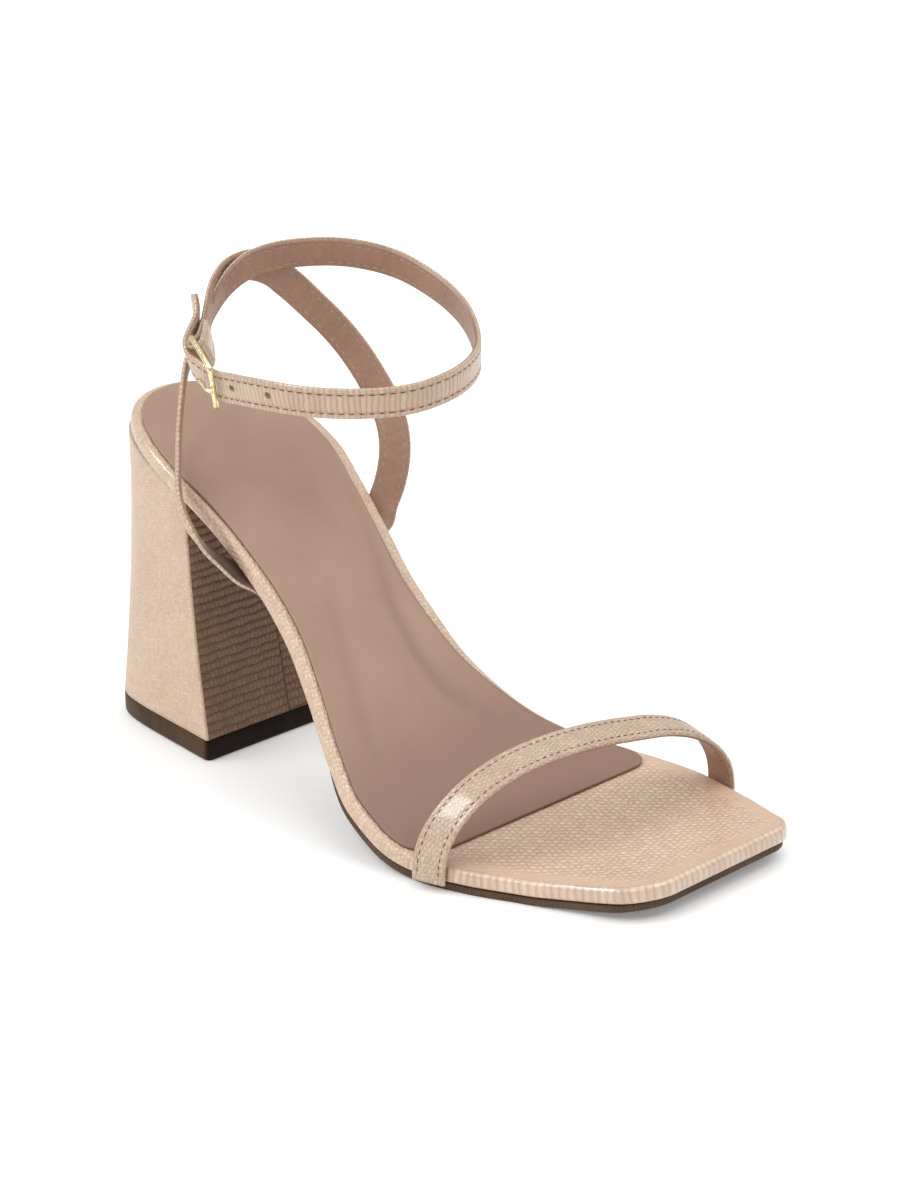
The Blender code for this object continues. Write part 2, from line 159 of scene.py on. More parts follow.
class Cutting:
    """The faces of one piece as they are laid out, each corner with its place on the flat hide."""

    def __init__(self):
        self.points = []
        self.faces = []
        self.flats = []
        self.slots = []

    def row(self, points):
        start = len(self.points)
        self.points.extend(points)
        return list(range(start, len(self.points)))

    def ring(self, points):
        placed = self.row(points)
        return placed + placed[:1]

    def panel(self, corners, flats, slot=0):
        self.faces.append(tuple(corners))
        self.flats.extend(flats)
        self.slots.append(slot)

    def strip(self, first, second, first_flats, second_flats, slot=0):
        for i in range(len(first) - 1):
            flats = (first_flats[i], first_flats[i + 1], second_flats[i + 1], second_flats[i])
            self.panel((first[i], first[i + 1], second[i + 1], second[i]), flats, slot)

    def tube(self, rings, slot=0, closed=False):
        """Joins each ring to the next one, and the last to the first if closed, or else closes both ends."""
        pairs = list(zip(rings, rings[1:])) + ([(rings[-1], rings[0])] if closed else [])
        for (first, first_flats), (second, second_flats) in pairs:
            self.strip(first, second, first_flats, second_flats, slot)
        for ring, flats in () if closed else (rings[0], rings[-1]):
            self.panel(ring[:-1], flats[:-1], slot)

    def sew(self, name, skins):
        """Turns the laid out faces into a piece."""
        data = bpy.data.meshes.new(name)
        places = [((p[0] - ORIGIN_X) * MM, p[1] * MM, p[2] * MM) for p in self.points]
        data.from_pydata(places, [], self.faces)
        hide = data.uv_layers.new(name="hide")
        hide.data.foreach_set("uv", [value for flat in self.flats for value in flat[:2]])
        data.polygons.foreach_set("material_index", self.slots)
        data.polygons.foreach_set("use_smooth", [True] * len(data.polygons))
        turned = bmesh.new()
        turned.from_mesh(data)
        bmesh.ops.recalc_face_normals(turned, faces=turned.faces)
        turned.to_mesh(data)
        turned.free()
        for skin in skins:
            data.materials.append(skin)
        piece = bpy.data.objects.new(name, data)
        bpy.context.scene.collection.objects.link(piece)
        return piece


def flush(x, y):
    return 0.0


def layer(places, sides, top, bottom, edge, columns, dent, raw_from):
    """A layer of the sole between two depths: its top and underside, and a wall with rounded edges all round.

    From the ring raw_from down, the wall takes the second material.
    """
    outer = [Vector((x, sides(x)[0])) for x in places]
    inner = [Vector((x, sides(x)[1])) for x in places]
    front = [outer[-1].lerp(inner[-1], i / columns) for i in range(1, columns)]
    back = [inner[0].lerp(outer[0], i / columns) for i in range(1, columns)]
    outline = outer + front + inner[::-1] + back
    count = len(outline)
    outward, laps = [], [0.0]
    for i in range(count):
        ahead = outline[(i + 1) % count]
        way = ahead - outline[i - 1]
        outward.append(Vector((way.y, -way.x)).normalized())
        laps.append(laps[-1] + (on_hide(*ahead) - on_hide(*outline[i])).length)
    turns = [math.radians(15.0 * i) for i in range(7)]
    section = [(edge * (1 - math.sin(t)), top + edge * (1 - math.cos(t)), edge * t) for t in turns]
    tall = bottom - top - 2 * edge
    around = edge * math.pi / 2
    section += [(0.0, top + edge + tall * share, around + tall * share) for share in (0.25, 0.5, 0.75)]
    for t in reversed(turns):
        run = 2 * around + tall - edge * t
        section.append((edge * (1 - math.sin(t)), bottom - edge * (1 - math.cos(t)), run))
    cutting = Cutting()
    rings, ring_flats = [], []
    for k, (inset, depth, run) in enumerate(section):
        points = []
        for place, way in zip(outline, outward):
            at = place - way * inset
            points.append(under(at.x, at.y, depth + (dent(at.x, at.y) if k == 0 else 0.0)))
        rings.append(cutting.ring(points))
        ring_flats.append([(lap, run) for lap in laps])
    for k in range(len(section) - 1):
        cutting.strip(rings[k], rings[k + 1], ring_flats[k], ring_flats[k + 1], int(k >= raw_from))
    rows = len(places)
    for ring, depth, shape in ((rings[0], top, dent), (rings[-1], bottom, flush)):
        grid, grid_flats = [], []
        for i in range(rows):
            start = outline[i] - outward[i] * edge
            j = 2 * rows + columns - 2 - i
            end = outline[j] - outward[j] * edge
            spots = [start.lerp(end, k / columns) for k in range(columns + 1)]
            if i == 0:
                inside = ring[count - columns + 1 : count][::-1]
            elif i == rows - 1:
                inside = ring[rows : rows + columns - 1]
            else:
                inside = cutting.row([under(p.x, p.y, depth + shape(p.x, p.y)) for p in spots[1:-1]])
            grid.append([ring[i]] + inside + [ring[j]])
            grid_flats.append([on_hide(p.x, p.y) for p in spots])
        for i in range(rows - 1):
            cutting.strip(grid[i], grid[i + 1], grid_flats[i], grid_flats[i + 1], 0)
    return cutting


def feed(tree, socket, value):
    """Links a node's output to a socket, or sets a plain value or colour on it."""
    if isinstance(value, bpy.types.NodeSocket):
        tree.links.new(value, socket)
    else:
        socket.default_value = (*value, 1.0) if socket.type == "RGBA" else value


def add_node(tree, kind, inputs=(), **settings):
    """Makes a node, feeds its inputs, by name or in order, and gives its outputs."""
    made = tree.nodes.new(kind)
    for name, value in settings.items():
        setattr(made, name, value)
    for key, value in inputs.items() if isinstance(inputs, dict) else enumerate(inputs):
        feed(tree, made.inputs[key], value)
    return made.outputs


def reckon(tree, operation, first, second=0.0, clamp=False):
    return add_node(tree, "ShaderNodeMath", (first, second), operation=operation, use_clamp=clamp)[0]


def move(tree, operation, place, by):
    """Reckons with places. SCALE takes a number, and the others a second place."""
    inputs = {0: place, "Scale" if operation == "SCALE" else 1: by}
    told = add_node(tree, "ShaderNodeVectorMath", inputs, operation=operation)
    return told["Value" if operation == "DISTANCE" else "Vector"]


def split(tree, place):
    return add_node(tree, "ShaderNodeSeparateXYZ", (place,))[:2]


def join(tree, first, second):
    return add_node(tree, "ShaderNodeCombineXYZ", (first, second))[0]


def cloud(tree, place, scale, detail, dimensions="2D"):
    inputs = {"Vector": place, "Scale": scale, "Detail": detail}
    return add_node(tree, "ShaderNodeTexNoise", inputs, noise_dimensions=dimensions)


def ramp(tree, value, low, high, from_low, to_high):
    """Eases from one value to another as the input goes from low to high."""
    inputs = {"Value": value, "From Min": low, "From Max": high, "To Min": from_low, "To Max": to_high}
    return add_node(tree, "ShaderNodeMapRange", inputs, interpolation_type="SMOOTHSTEP")["Result"]


def tint(tree, share, first, second):
    return add_node(tree, "ShaderNodeMix", {0: share, 6: first, 7: second}, data_type="RGBA")[2]


def new_effect(name, inputs, outputs):
    """An empty effect for several materials, laid on the flat hide, with what it is given and tells."""
    effect = bpy.data.node_groups.new(name, "ShaderNodeTree")
    effect.interface.new_socket("Flat", in_out="INPUT", socket_type="NodeSocketVector")
    for label, value in inputs.items():
        socket = effect.interface.new_socket(label, in_out="INPUT", socket_type="NodeSocketFloat")
        socket.default_value = value
    for label in outputs:
        effect.interface.new_socket(label, in_out="OUTPUT", socket_type="NodeSocketFloat")
    return effect, add_node(effect, "NodeGroupInput"), effect.nodes.new("NodeGroupOutput").inputs


# Rows of raised scales with sunk lines between them, as a heated plate presses them into the leather
PLAIN_SCALES = {"Row": 1.6, "Length": 2.0, "Squareness": 3.0, "Wobble": 0.6, "Stagger": 0.5}
PLAIN_SCALES.update({"Shift": 0.0, "Ribbing": 0.0, "Turn": 0.0})
WOBBLE_SCALE = 0.22
WOBBLE_DETAIL = 1.5
WOBBLE_REACH = 4.0
emboss, given, told = new_effect("embossed_scales", PLAIN_SCALES, ("Height", "Groove", "Tone"))
calc = partial(reckon, emboss)
turning = {"Vector": given["Flat"], "Angle": given["Turn"]}
laid = add_node(emboss, "ShaderNodeVectorRotate", turning, rotation_type="Z_AXIS")[0]
drift = move(emboss, "SUBTRACT", cloud(emboss, laid, WOBBLE_SCALE, WOBBLE_DETAIL)["Color"], (0.5, 0.5, 0.5))
pushed = move(emboss, "SCALE", drift, calc("MULTIPLY", given["Wobble"], WOBBLE_REACH))
along, across = split(emboss, move(emboss, "ADD", laid, pushed))
along = calc("DIVIDE", along, given["Row"])
row_number = calc("FLOOR", along)
offset = calc("FRACT", calc("MULTIPLY", row_number, given["Stagger"]))
across = calc("ADD", calc("ADD", calc("DIVIDE", across, given["Length"]), offset), given["Shift"])
reach = []
for place in (along, across):
    from_middle = calc("ABSOLUTE", calc("SUBTRACT", calc("FRACT", place), 0.5))
    reach.append(calc("POWER", calc("MULTIPLY", from_middle, 2.0), given["Squareness"]))
broken = calc("MULTIPLY", reach[1], calc("SUBTRACT", 1.0, given["Ribbing"]))
edge_share = calc("POWER", calc("ADD", reach[0], broken), calc("DIVIDE", 1.0, given["Squareness"]))
which = (join(emboss, row_number, calc("FLOOR", across)),)
dice = add_node(emboss, "ShaderNodeTexWhiteNoise", which, noise_dimensions="2D")
feed(emboss, told["Height"], ramp(emboss, edge_share, 0.35, 1.02, 1.0, 0.0))
feed(emboss, told["Groove"], ramp(emboss, edge_share, 0.80, 1.05, 0.0, 1.0))
feed(emboss, told["Tone"], dice["Value"])

# The uneven tone of a dyed hide, and its fine pores
hide_tone, given, told = new_effect("hide_tone", {}, ("Mottle", "Pore"))
for label, scale, detail in (("Mottle", 0.05, 3.0), ("Pore", 4.5, 2.0)):
    feed(hide_tone, told[label], cloud(hide_tone, given["Flat"], scale, detail)["Fac"])


def use_effect(tree, effect, **values):
    return add_node(tree, "ShaderNodeGroup", values, node_tree=effect)


def new_skin(name, roughness, coat=0.0, coat_roughness=0.3, gloss=0.5):
    """A material with its Principled shader ready and the plain values set on it."""
    skin = bpy.data.materials.new(name)
    skin.use_nodes = True
    shader = skin.node_tree.nodes["Principled BSDF"]
    shader.inputs["Roughness"].default_value = roughness
    shader.inputs["Coat Weight"].default_value = coat
    shader.inputs["Coat Roughness"].default_value = coat_roughness
    shader.inputs["Specular IOR Level"].default_value = gloss
    return skin, skin.node_tree, shader


def hide_place(tree):
    return add_node(tree, "ShaderNodeUVMap", uv_map="hide")["UV"]


def read_mark(tree, name):
    return add_node(tree, "ShaderNodeAttribute", attribute_name=name)["Fac"]


def finish_skin(tree, shader, colour, height, deep, roughness=None):
    """Gives a material its varying colour and roughness, and a relief of a depth in millimetres."""
    feed(tree, shader.inputs["Base Color"], colour)
    if roughness is not None:
        feed(tree, shader.inputs["Roughness"], roughness)
    relief = {"Strength": 1.0, "Distance": deep * MM, "Height": height}
    feed(tree, shader.inputs["Normal"], add_node(tree, "ShaderNodeBump", relief)["Normal"])


def pore_sheen(tree, tone, low, high):
    return ramp(tree, tone["Pore"], 0.3, 0.7, low, high)


LIZARD_LIGHT = (0.72, 0.535, 0.395)
LIZARD_DARK = (0.61, 0.435, 0.312)
LIZARD_GROOVE = (0.36, 0.225, 0.14)
LIZARD_BORDER = (0.61, 0.42, 0.28)
AS_DYED = (1.0, 1.0, 1.0)
# What each scale's own tone, the mottling and the pores count for in the colour and in the height
SCALE_TONE = 0.45
MOTTLE_TONE = 0.7
SCALE_RISE = 0.25
PORE_RISE = 0.14
SEAM_DARK = 0.9
BORDER_RELIEF = 0.2
BORDER_DARK = 0.75


def lizard_skin(name, pattern, deep, groove, coat, gloss=0.5, tint_and_painted_shade=AS_DYED, seam=None, border=None):
    """Embossed leather: raised scales with a satin glaze, darker in the lines between them.

    A seam is the place of a butted joint. A border is a mark that says where the emboss runs out.
    """
    skin, tree, shader = new_skin(name, 0.42, coat, coat_roughness=0.16, gloss=gloss)
    calc = partial(reckon, tree)
    flat = hide_place(tree)
    closing = None
    if seam is not None:
        along, across = split(tree, flat)
        past = calc("SUBTRACT", across, seam)
        closing = ramp(tree, calc("ABSOLUTE", past), 0.05, 0.4, 1.0, 0.0)
        flat = join(tree, calc("ADD", along, calc("GREATER_THAN", past, 0.0)), across)
    scales = use_effect(tree, emboss, Flat=flat, **pattern)
    tone = use_effect(tree, hide_tone, Flat=flat)
    own_tone = calc("MULTIPLY", scales["Tone"], SCALE_TONE)
    shade = calc("ADD", own_tone, calc("MULTIPLY", tone["Mottle"], MOTTLE_TONE))
    colours = (LIZARD_LIGHT, LIZARD_DARK, LIZARD_GROOVE)
    # Each colour is multiplied by the given tint, which on the heel breast is painted shade
    light, dark, line = ([share * part for share, part in zip(tint_and_painted_shade, colour)] for colour in colours)
    hide = tint(tree, ramp(tree, shade, 0.2, 0.95, 0.0, 1.0), light, dark)
    sunk = calc("MULTIPLY", scales["Groove"], groove)
    raised = scales["Height"]
    if border is not None:
        plain = read_mark(tree, border)
        kept = ramp(tree, plain, 0.0, 1.0, 1.0, BORDER_RELIEF)
        sunk, raised = (calc("MULTIPLY", value, kept) for value in (sunk, raised))
        hide = tint(tree, calc("MULTIPLY", plain, BORDER_DARK), hide, LIZARD_BORDER)
    swell = calc("ADD", raised, calc("MULTIPLY", tone["Pore"], PORE_RISE))
    swell = calc("ADD", swell, calc("MULTIPLY", scales["Tone"], SCALE_RISE))
    if closing is not None:
        sunk = calc("MAXIMUM", sunk, calc("MULTIPLY", closing, SEAM_DARK))
        swell = calc("SUBTRACT", swell, closing)
    glaze = ramp(tree, raised, 0.0, 1.0, 0.58, 0.34)
    finish_skin(tree, shader, tint(tree, sunk, hide, line), swell, deep, glaze)
    return skin


def mark(piece, name, values):
    """Keeps a value at each point of a piece, for its material to read."""
    piece.data.attributes.new(name, "FLOAT", "POINT").data.foreach_set("value", values)


TOE_LINE = 148.0
ALL_COVERED = 99
BED_COLUMNS = 24
TOE_SHADE = (1.16, 1.17, 1.16)
RIM_SHADE = (1.06, 1.05, 1.03)
# How far in from the toe's edge the leather is plain, and where the scales are full
BORDER_PLAIN = 4.0
BORDER_END = 9.0


def toe_border(x, y):
    outer, inner = footbed_sides(x)
    inside = min(y - outer, inner - y, SHOE_END - x)
    return float(np.clip((BORDER_END - inside) / (BORDER_END - BORDER_PLAIN), 0.0, 1.0))


toe_rows = {"Row": 1.9, "Length": 2.0, "Squareness": 1.7, "Wobble": 0.4, "Turn": 0.8}
toe_bed_skin = lizard_skin(
    "lizard_toe", toe_rows, deep=0.4, groove=0.6, coat=0.45, tint_and_painted_shade=TOE_SHADE, border="border"
)
edge_blocks = {"Row": 2.1, "Length": 6.4, "Squareness": 3.6, "Wobble": 0.25, "Stagger": 0.0}
toe_edge_skin = lizard_skin("lizard_toe_edge", edge_blocks, deep=0.36, groove=0.4, coat=1.0)
rim_scales = {"Row": 1.4, "Length": 1.5, "Squareness": 2.3, "Wobble": 0.35}
rim_skin = lizard_skin("lizard_rim", rim_scales, deep=0.24, groove=0.2, coat=0.36, tint_and_painted_shade=RIM_SHADE)
bed_stations = fine_places(0.02, SHOE_END, 16.0, 10.0, 2.0)
bed = layer(bed_stations, footbed_sides, 0.0, RIM, RIM_EDGE, BED_COLUMNS, flush, ALL_COVERED)
# The wall's faces come first, then those of the top and the underside
wall_faces = len(bed.faces) - 2 * BED_COLUMNS * (len(bed_stations) - 1)
for i, face in enumerate(bed.faces):
    at_toe = min(bed.points[corner][0] for corner in face) > TOE_LINE
    bed.slots[i] = (2 if i < wall_faces else 0) if at_toe else 1
footbed = bed.sew("footbed_leather", [toe_bed_skin, rim_skin, toe_edge_skin])
mark(footbed, "border", [toe_border(point[0], point[1]) for point in bed.points])
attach(footbed, "root")
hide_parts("footbed")

# --------------------------------------
# Sock. A soft lining sheet cut to the seat and the ball, glued down inside the rim. It is smooth taupe
# leather with a dark raw edge, and it shows soft folds where the board dips through the waist. Painted
# shade darkens the troughs of the folds and the ball.
SOCK_TOP = 0.95
SOCK_EDGE = 0.25
SOCK_START = 3.0
SOCK_END = 153.5
SOCK_CORNER = 9.0
SOCK_RAW_FROM = 8
# Place along the shoe, width of bare rim outside it, width of bare rim inside it
SOCK_INSET = (
    (0.0, 3.0, 3.0),
    (40.0, 2.2, 4.4),
    (76.0, 2.6, 4.8),
    (92.0, 2.9, 5.0),
    (108.0, 2.4, 3.8),
    (122.0, 2.2, 2.6),
    (160.0, 2.4, 2.6),
)
# Soft folds: depth, half width, then the places along and across that each one runs through
SOCK_FOLDS = (
    (0.85, 2.7, (
        (56.0, 19.0), (75.0, 13.0), (93.0, 4.5), (105.0, 3.0), (114.0, 5.0), (122.0, 11.5), (131.0, 21.0)
    )),
    (-0.35, 5.5, ((66.0, 8.0), (84.0, 1.0), (100.0, -5.0), (114.0, -6.0), (126.0, 0.0))),
    (0.34, 2.4, ((80.0, -9.0), (93.0, -16.5), (109.0, -24.0), (118.0, -28.0), (128.0, -31.5))),
    (-0.5, 6.0, ((58.0, 20.0), (76.0, 15.5), (92.0, 12.5), (106.0, 14.5), (119.0, 22.0), (130.0, 31.0))),
    (0.2, 3.6, ((36.0, 15.0), (52.0, 6.5), (68.0, -1.0))),
    (-0.22, 7.0, ((124.0, -14.0), (134.0, -4.0), (141.0, 12.0), (144.0, 26.0))),
)


def sock_sides(x):
    tucks = (smooth(SOCK_INSET, 1, x), smooth(SOCK_INSET, 2, x))
    return last_sides(x, SOCK_END, (SOCK_CORNER, SOCK_CORNER), tucks, nose(x, SOCK_START))


def sock_folds(x, y):
    """How far the soft folds sink the sock's top, fading out at their ends."""
    sunk = 0.0
    for deep, half, path in SOCK_FOLDS:
        line = np.array(path)
        starts, ends = line[:-1], line[1:]
        ways = ends - starts
        share = np.clip(((np.array((x, y)) - starts) * ways).sum(1) / (ways * ways).sum(1), 0.0, 1.0)
        away = np.hypot(*(np.array((x, y)) - starts - ways * share[:, None]).T)
        nearest = int(away.argmin())
        travelled = (nearest + share[nearest]) / len(ways)
        sunk += deep * math.exp(-((away[nearest] / half) ** 2)) * math.sin(math.pi * travelled) ** 0.7
    return sunk


SOCK_LIGHT = (0.41, 0.262, 0.190)
SOCK_DARK = (0.345, 0.213, 0.151)
SOCK_BALL_SHADE = (0.262, 0.155, 0.108)
SOCK_CREASE_SHADE = (0.22, 0.13, 0.09)
# Places along the shoe between which the sock turns to a darker painted shade at the ball
BALL_FROM = 104.0
BALL_TO = 140.0
sock_skin, tree, shader = new_skin("sock_leather", roughness=0.5, coat=0.05, coat_roughness=0.35, gloss=0.3)
flat = hide_place(tree)
tone = use_effect(tree, hide_tone, Flat=flat)
hide = tint(tree, ramp(tree, tone["Mottle"], 0.2, 0.85, 0.2, 0.7), SOCK_LIGHT, SOCK_DARK)
ball_from, ball_to = (on_hide(place, 0.0).x for place in (BALL_FROM, BALL_TO))
# Painted shade: the sock darkens over the ball, towards the toe strap
hide = tint(tree, ramp(tree, split(tree, flat)[0], ball_from, ball_to, 0.0, 1.0), hide, SOCK_BALL_SHADE)
# Painted shade in the troughs of the soft folds
hide = tint(tree, reckon(tree, "MULTIPLY", read_mark(tree, "crease_shade"), 0.5, True), hide, SOCK_CREASE_SHADE)
finish_skin(tree, shader, hide, tone["Pore"], deep=0.03, roughness=pore_sheen(tree, tone, 0.44, 0.56))

EDGE_LIGHT = (0.21, 0.125, 0.085)
EDGE_DARK = (0.13, 0.075, 0.05)
edge_skin, tree, shader = new_skin("sock_raw_edge", roughness=0.6)
tone = use_effect(tree, hide_tone, Flat=hide_place(tree))
finish_skin(tree, shader, tint(tree, tone["Pore"], EDGE_LIGHT, EDGE_DARK), tone["Pore"], deep=0.05)

SOCK_COLUMNS = 36
SOCK_UNDER = 0.02
sock_stations = fine_places(SOCK_START + 0.02, SOCK_END, 15.0, SOCK_CORNER, 1.8)
sheet = layer(
    sock_stations, sock_sides, -SOCK_TOP, -SOCK_UNDER, SOCK_EDGE, SOCK_COLUMNS, sock_folds, SOCK_RAW_FROM
)
sock = sheet.sew("sock_lining", [sock_skin, edge_skin])
# Keeps how deep each point sinks in a fold, which sets the painted shade in the creases
mark(sock, "crease_shade", [max(0.0, sock_folds(point[0], point[1])) for point in sheet.points])
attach(sock, "root")
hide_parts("sock")

# --------------------------------------
# Outsole. A thin moulded sheet glued under the footbed from the heel breast to the toe, a little inside
# the rim. It is taupe brown with a matt cut edge and a finely pebbled tread.
SOLE = 2.1
SOLE_EDGE = 0.45
SOLE_START = 52.0
SOLE_END = 209.2
# Place along the shoe, how far its edge is tucked in under the footbed
SOLE_INSET = (
    (40.0, 11.0),
    (80.0, 14.5),
    (96.0, 9.0),
    (112.0, 3.6),
    (126.0, 1.3),
    (140.0, 0.9),
    (212.0, 0.9),
)


def sole_sides(x):
    tuck = smooth(SOLE_INSET, 1, x)
    return last_sides(x, SOLE_END, TOE_RADII, (tuck, tuck))


SOLE_LIGHT = (0.125, 0.076, 0.048)
SOLE_DARK = (0.074, 0.044, 0.028)
SOLE_COLUMNS = 20
sole_skin, tree, shader = new_skin("outsole_rubber", roughness=0.62, gloss=0.2)
flat = hide_place(tree)
tone = use_effect(tree, hide_tone, Flat=flat)
pebbles = use_effect(tree, emboss, Flat=flat, Row=1.1, Length=1.1, Squareness=2.0, Wobble=0.5)
worn = reckon(tree, "ADD", tone["Mottle"], reckon(tree, "MULTIPLY", pebbles["Groove"], 0.3))
rubber = tint(tree, ramp(tree, worn, 0.3, 0.9, 0.0, 1.0), SOLE_LIGHT, SOLE_DARK)
pebbled = reckon(tree, "ADD", pebbles["Height"], tone["Pore"])
finish_skin(tree, shader, rubber, pebbled, deep=0.05, roughness=pore_sheen(tree, tone, 0.55, 0.7))

sole_top = RIM + GAP
sole_stations = fine_places(SOLE_START, SOLE_END, 1.0, 10.0, 2.0)
slab = layer(
    sole_stations, sole_sides, sole_top, sole_top + SOLE, SOLE_EDGE, SOLE_COLUMNS, flush, ALL_COVERED
)
outsole = slab.sew("outsole_sheet", [sole_skin])
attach(outsole, "root")
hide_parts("outsole")

# --------------------------------------
# Heel. A moulded block covered in the same embossed leather and screwed up into the seat. The cover wraps
# the back and sides with a fine grain, and the breast is a flap with broad rows and one closing seam.
LIFT = 6.5
HEEL_INNER = 0.94
HEEL_SEAT = 76.0
HEEL_FLARE = 1.6
HEEL_CORNER = 0.8
HEEL_ROWS = 64
BREAST_COLUMNS = 36
BREAST_SEAM = -1.5
# Painted shade: the breast's colours are darkened this much for the shade it lies in under the arch
BREAST_PAINTED_SHADE = (0.40, 0.33, 0.285)
# From the back to the breast: bottom place, bottom half width, top place, top half width
HEEL = (
    (1.2, 0.0, 0.8, 0.0),
    (1.5, 8.4, 1.5, 8.2),
    (2.7, 17.2, 4.0, 15.2),
    (5.9, 23.9, 8.6, 20.6),
    (11.6, 27.6, 15.2, 24.8),
    (21.2, 29.7, 24.2, 28.3),
    (38.2, 31.5, 35.8, 30.0),
    (54.6, 33.0, 44.8, 30.5),
)


def heel_outline(height, corner=HEEL_CORNER):
    """The outline at a height: from the outer front corner round the back, then along the breast."""
    rise = max(0.0, height - LIFT - GAP) / (HEEL_SEAT - LIFT - GAP)
    share = max(0.0, 1.0 - rise) ** HEEL_FLARE
    line = [(t + (b - t) * share, th + (bh - th) * share) for b, bh, t, th in HEEL]
    path = np.array([(x, -y) for x, y in reversed(line)] + [(x, HEEL_INNER * y) for x, y in line[1:]])
    slopes = np.gradient(path, axis=0)
    side = []
    for i in range(len(path) - 1):
        for t in np.arange(6) / 6:
            side.append(Vector(bend(path[i], path[i + 1], slopes[i], slopes[i + 1], t)))
    side.append(Vector(path[-1]))
    outer, inner = side[0], side[-1]
    front = (inner - outer).normalized() * corner
    from_side = (side[1] - outer).normalized() * corner
    to_side = (side[-2] - inner).normalized() * corner
    bends = (0.0, 0.2, 0.4, 0.6, 0.8, 1.0)
    round_outer = [outer + front * (1 - t) ** 2 + from_side * t * t for t in bends]
    round_inner = [inner + to_side * (1 - t) ** 2 - front * t * t for t in bends]
    wrapped = round_outer + side[1:-1] + round_inner
    first, last = inner - front, outer + front
    breast = [first.lerp(last, i / BREAST_COLUMNS) for i in range(1, BREAST_COLUMNS)]
    return wrapped + breast, len(wrapped) - 1


def seat_under(x):
    """Height of the underside of the wrapped board at a place along the shoe."""
    at = x
    for _ in range(8):
        slope = bed_slope(at)
        at = x - (RIM + GAP) * slope / math.hypot(1.0, slope)
    return smooth(LAST, 3, at) - (RIM + GAP) / math.hypot(1.0, bed_slope(at))


HEEL_REACH = 104.0
HEEL_LEVELS = 120
# The level at which the cover's length round the heel is measured
GIRTH_LEVEL = 40
heel_low = LIFT + GAP
heel_heights = np.linspace(heel_low, HEEL_REACH, HEEL_LEVELS)
heel_lines = np.array([heel_outline(height)[0] for height in heel_heights])
breast_start = heel_outline(heel_low)[1]
around = runs_along(heel_lines[GIRTH_LEVEL])
columns = len(around)
seat_tops = []
for j in range(columns):
    over = [height - seat_under(x) for height, x in zip(heel_heights, heel_lines[:, j, 0])]
    seat_tops.append(float(np.interp(0.0, over, heel_heights)))
block = Cutting()
heel_grid, heel_flats = [], []
for i in range(HEEL_ROWS + 1):
    points, flats = [], []
    for j in range(columns):
        height = heel_low + (seat_tops[j] - heel_low) * i / HEEL_ROWS
        x, y = (float(np.interp(height, heel_heights, heel_lines[:, j, k])) for k in (0, 1))
        points.append((x, y, height))
        flats.append((height, around[j]))
    heel_grid.append(block.ring(points))
    heel_flats.append(flats + [(flats[0][0], around[-1] + HEEL_CORNER)])
for i in range(HEEL_ROWS):
    for slot, part in enumerate((slice(breast_start + 1), slice(breast_start, None))):
        low, high, low_flats, high_flats = (
            rows[part] for rows in (heel_grid[i], heel_grid[i + 1], heel_flats[i], heel_flats[i + 1])
        )
        block.strip(low, high, low_flats, high_flats, slot)
for end in (0, -1):
    block.panel(heel_grid[end][:-1], heel_flats[end][:-1])

heel_grain = {"Row": 0.9, "Length": 1.0, "Squareness": 2.2, "Wobble": 0.5}
heel_side_skin = lizard_skin("lizard_heel_side", heel_grain, deep=0.12, groove=0.3, coat=0.12)
breast_rows = {"Row": 2.45, "Length": 1.5, "Squareness": 2.4, "Wobble": 0.22, "Ribbing": 0.5}
breast_places = -heel_lines[GIRTH_LEVEL, breast_start:, 1]
breast_seam = float(np.interp(-BREAST_SEAM, breast_places, around[breast_start:]))
# The breast's leather carries painted shade
breast_skin = lizard_skin(
    "lizard_heel_breast", breast_rows, deep=0.6, groove=0.9, coat=0.0, gloss=0.2,
    tint_and_painted_shade=BREAST_PAINTED_SHADE, seam=breast_seam,
)
heel = block.sew("heel_cover", [heel_side_skin, breast_skin])
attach(heel, "root")
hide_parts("heel")

# --------------------------------------
# Top piece. The dark moulded plate that takes the wear under the heel, pinned and glued on and trimmed
# flush with the cover. Its edge is smooth and a little glossy, and its underside has a fine pebble.
PLATE_EDGE = 1.2
PLATE_CORNER = 2.2
PLATE_SEAM = 0.15
PLATE_FACE = 6.0
plate_outline = heel_outline(0.0, PLATE_CORNER)[0]
plate_middle = sum(plate_outline, Vector((0.0, 0.0))) / len(plate_outline)
plate_runs = runs_along(plate_outline)
plate = Cutting()
# Across the plate's edge, from the underside up: how far in, and how high
plate_section = (
    (PLATE_FACE, 0.0),
    (PLATE_EDGE, 0.0),
    (0.5 * PLATE_EDGE, 0.13 * PLATE_EDGE),
    (0.13 * PLATE_EDGE, 0.5 * PLATE_EDGE),
    (0.0, PLATE_EDGE),
    (0.0, 0.5 * LIFT),
    (0.0, LIFT - PLATE_SEAM),
    (PLATE_SEAM, LIFT),
    (PLATE_FACE, LIFT),
)
plate_rings = []
for inset, height in plate_section:
    points = []
    for place in plate_outline:
        inward = plate_middle - place
        spot = place + inward * min(0.9, inset / inward.length)
        points.append((spot.x, spot.y, height))
    flats = [(run, height - inset) for run in (*plate_runs, plate_runs[-1] + 1.0)]
    plate_rings.append((plate.ring(points), flats))
plate.tube(plate_rings)

PLATE_LIGHT = (0.092, 0.049, 0.024)
PLATE_DARK = (0.038, 0.019, 0.010)
PLATE_FRONT_SHADE = (0.008, 0.004, 0.002)


def object_place(tree):
    return add_node(tree, "ShaderNodeTexCoord")["Object"]


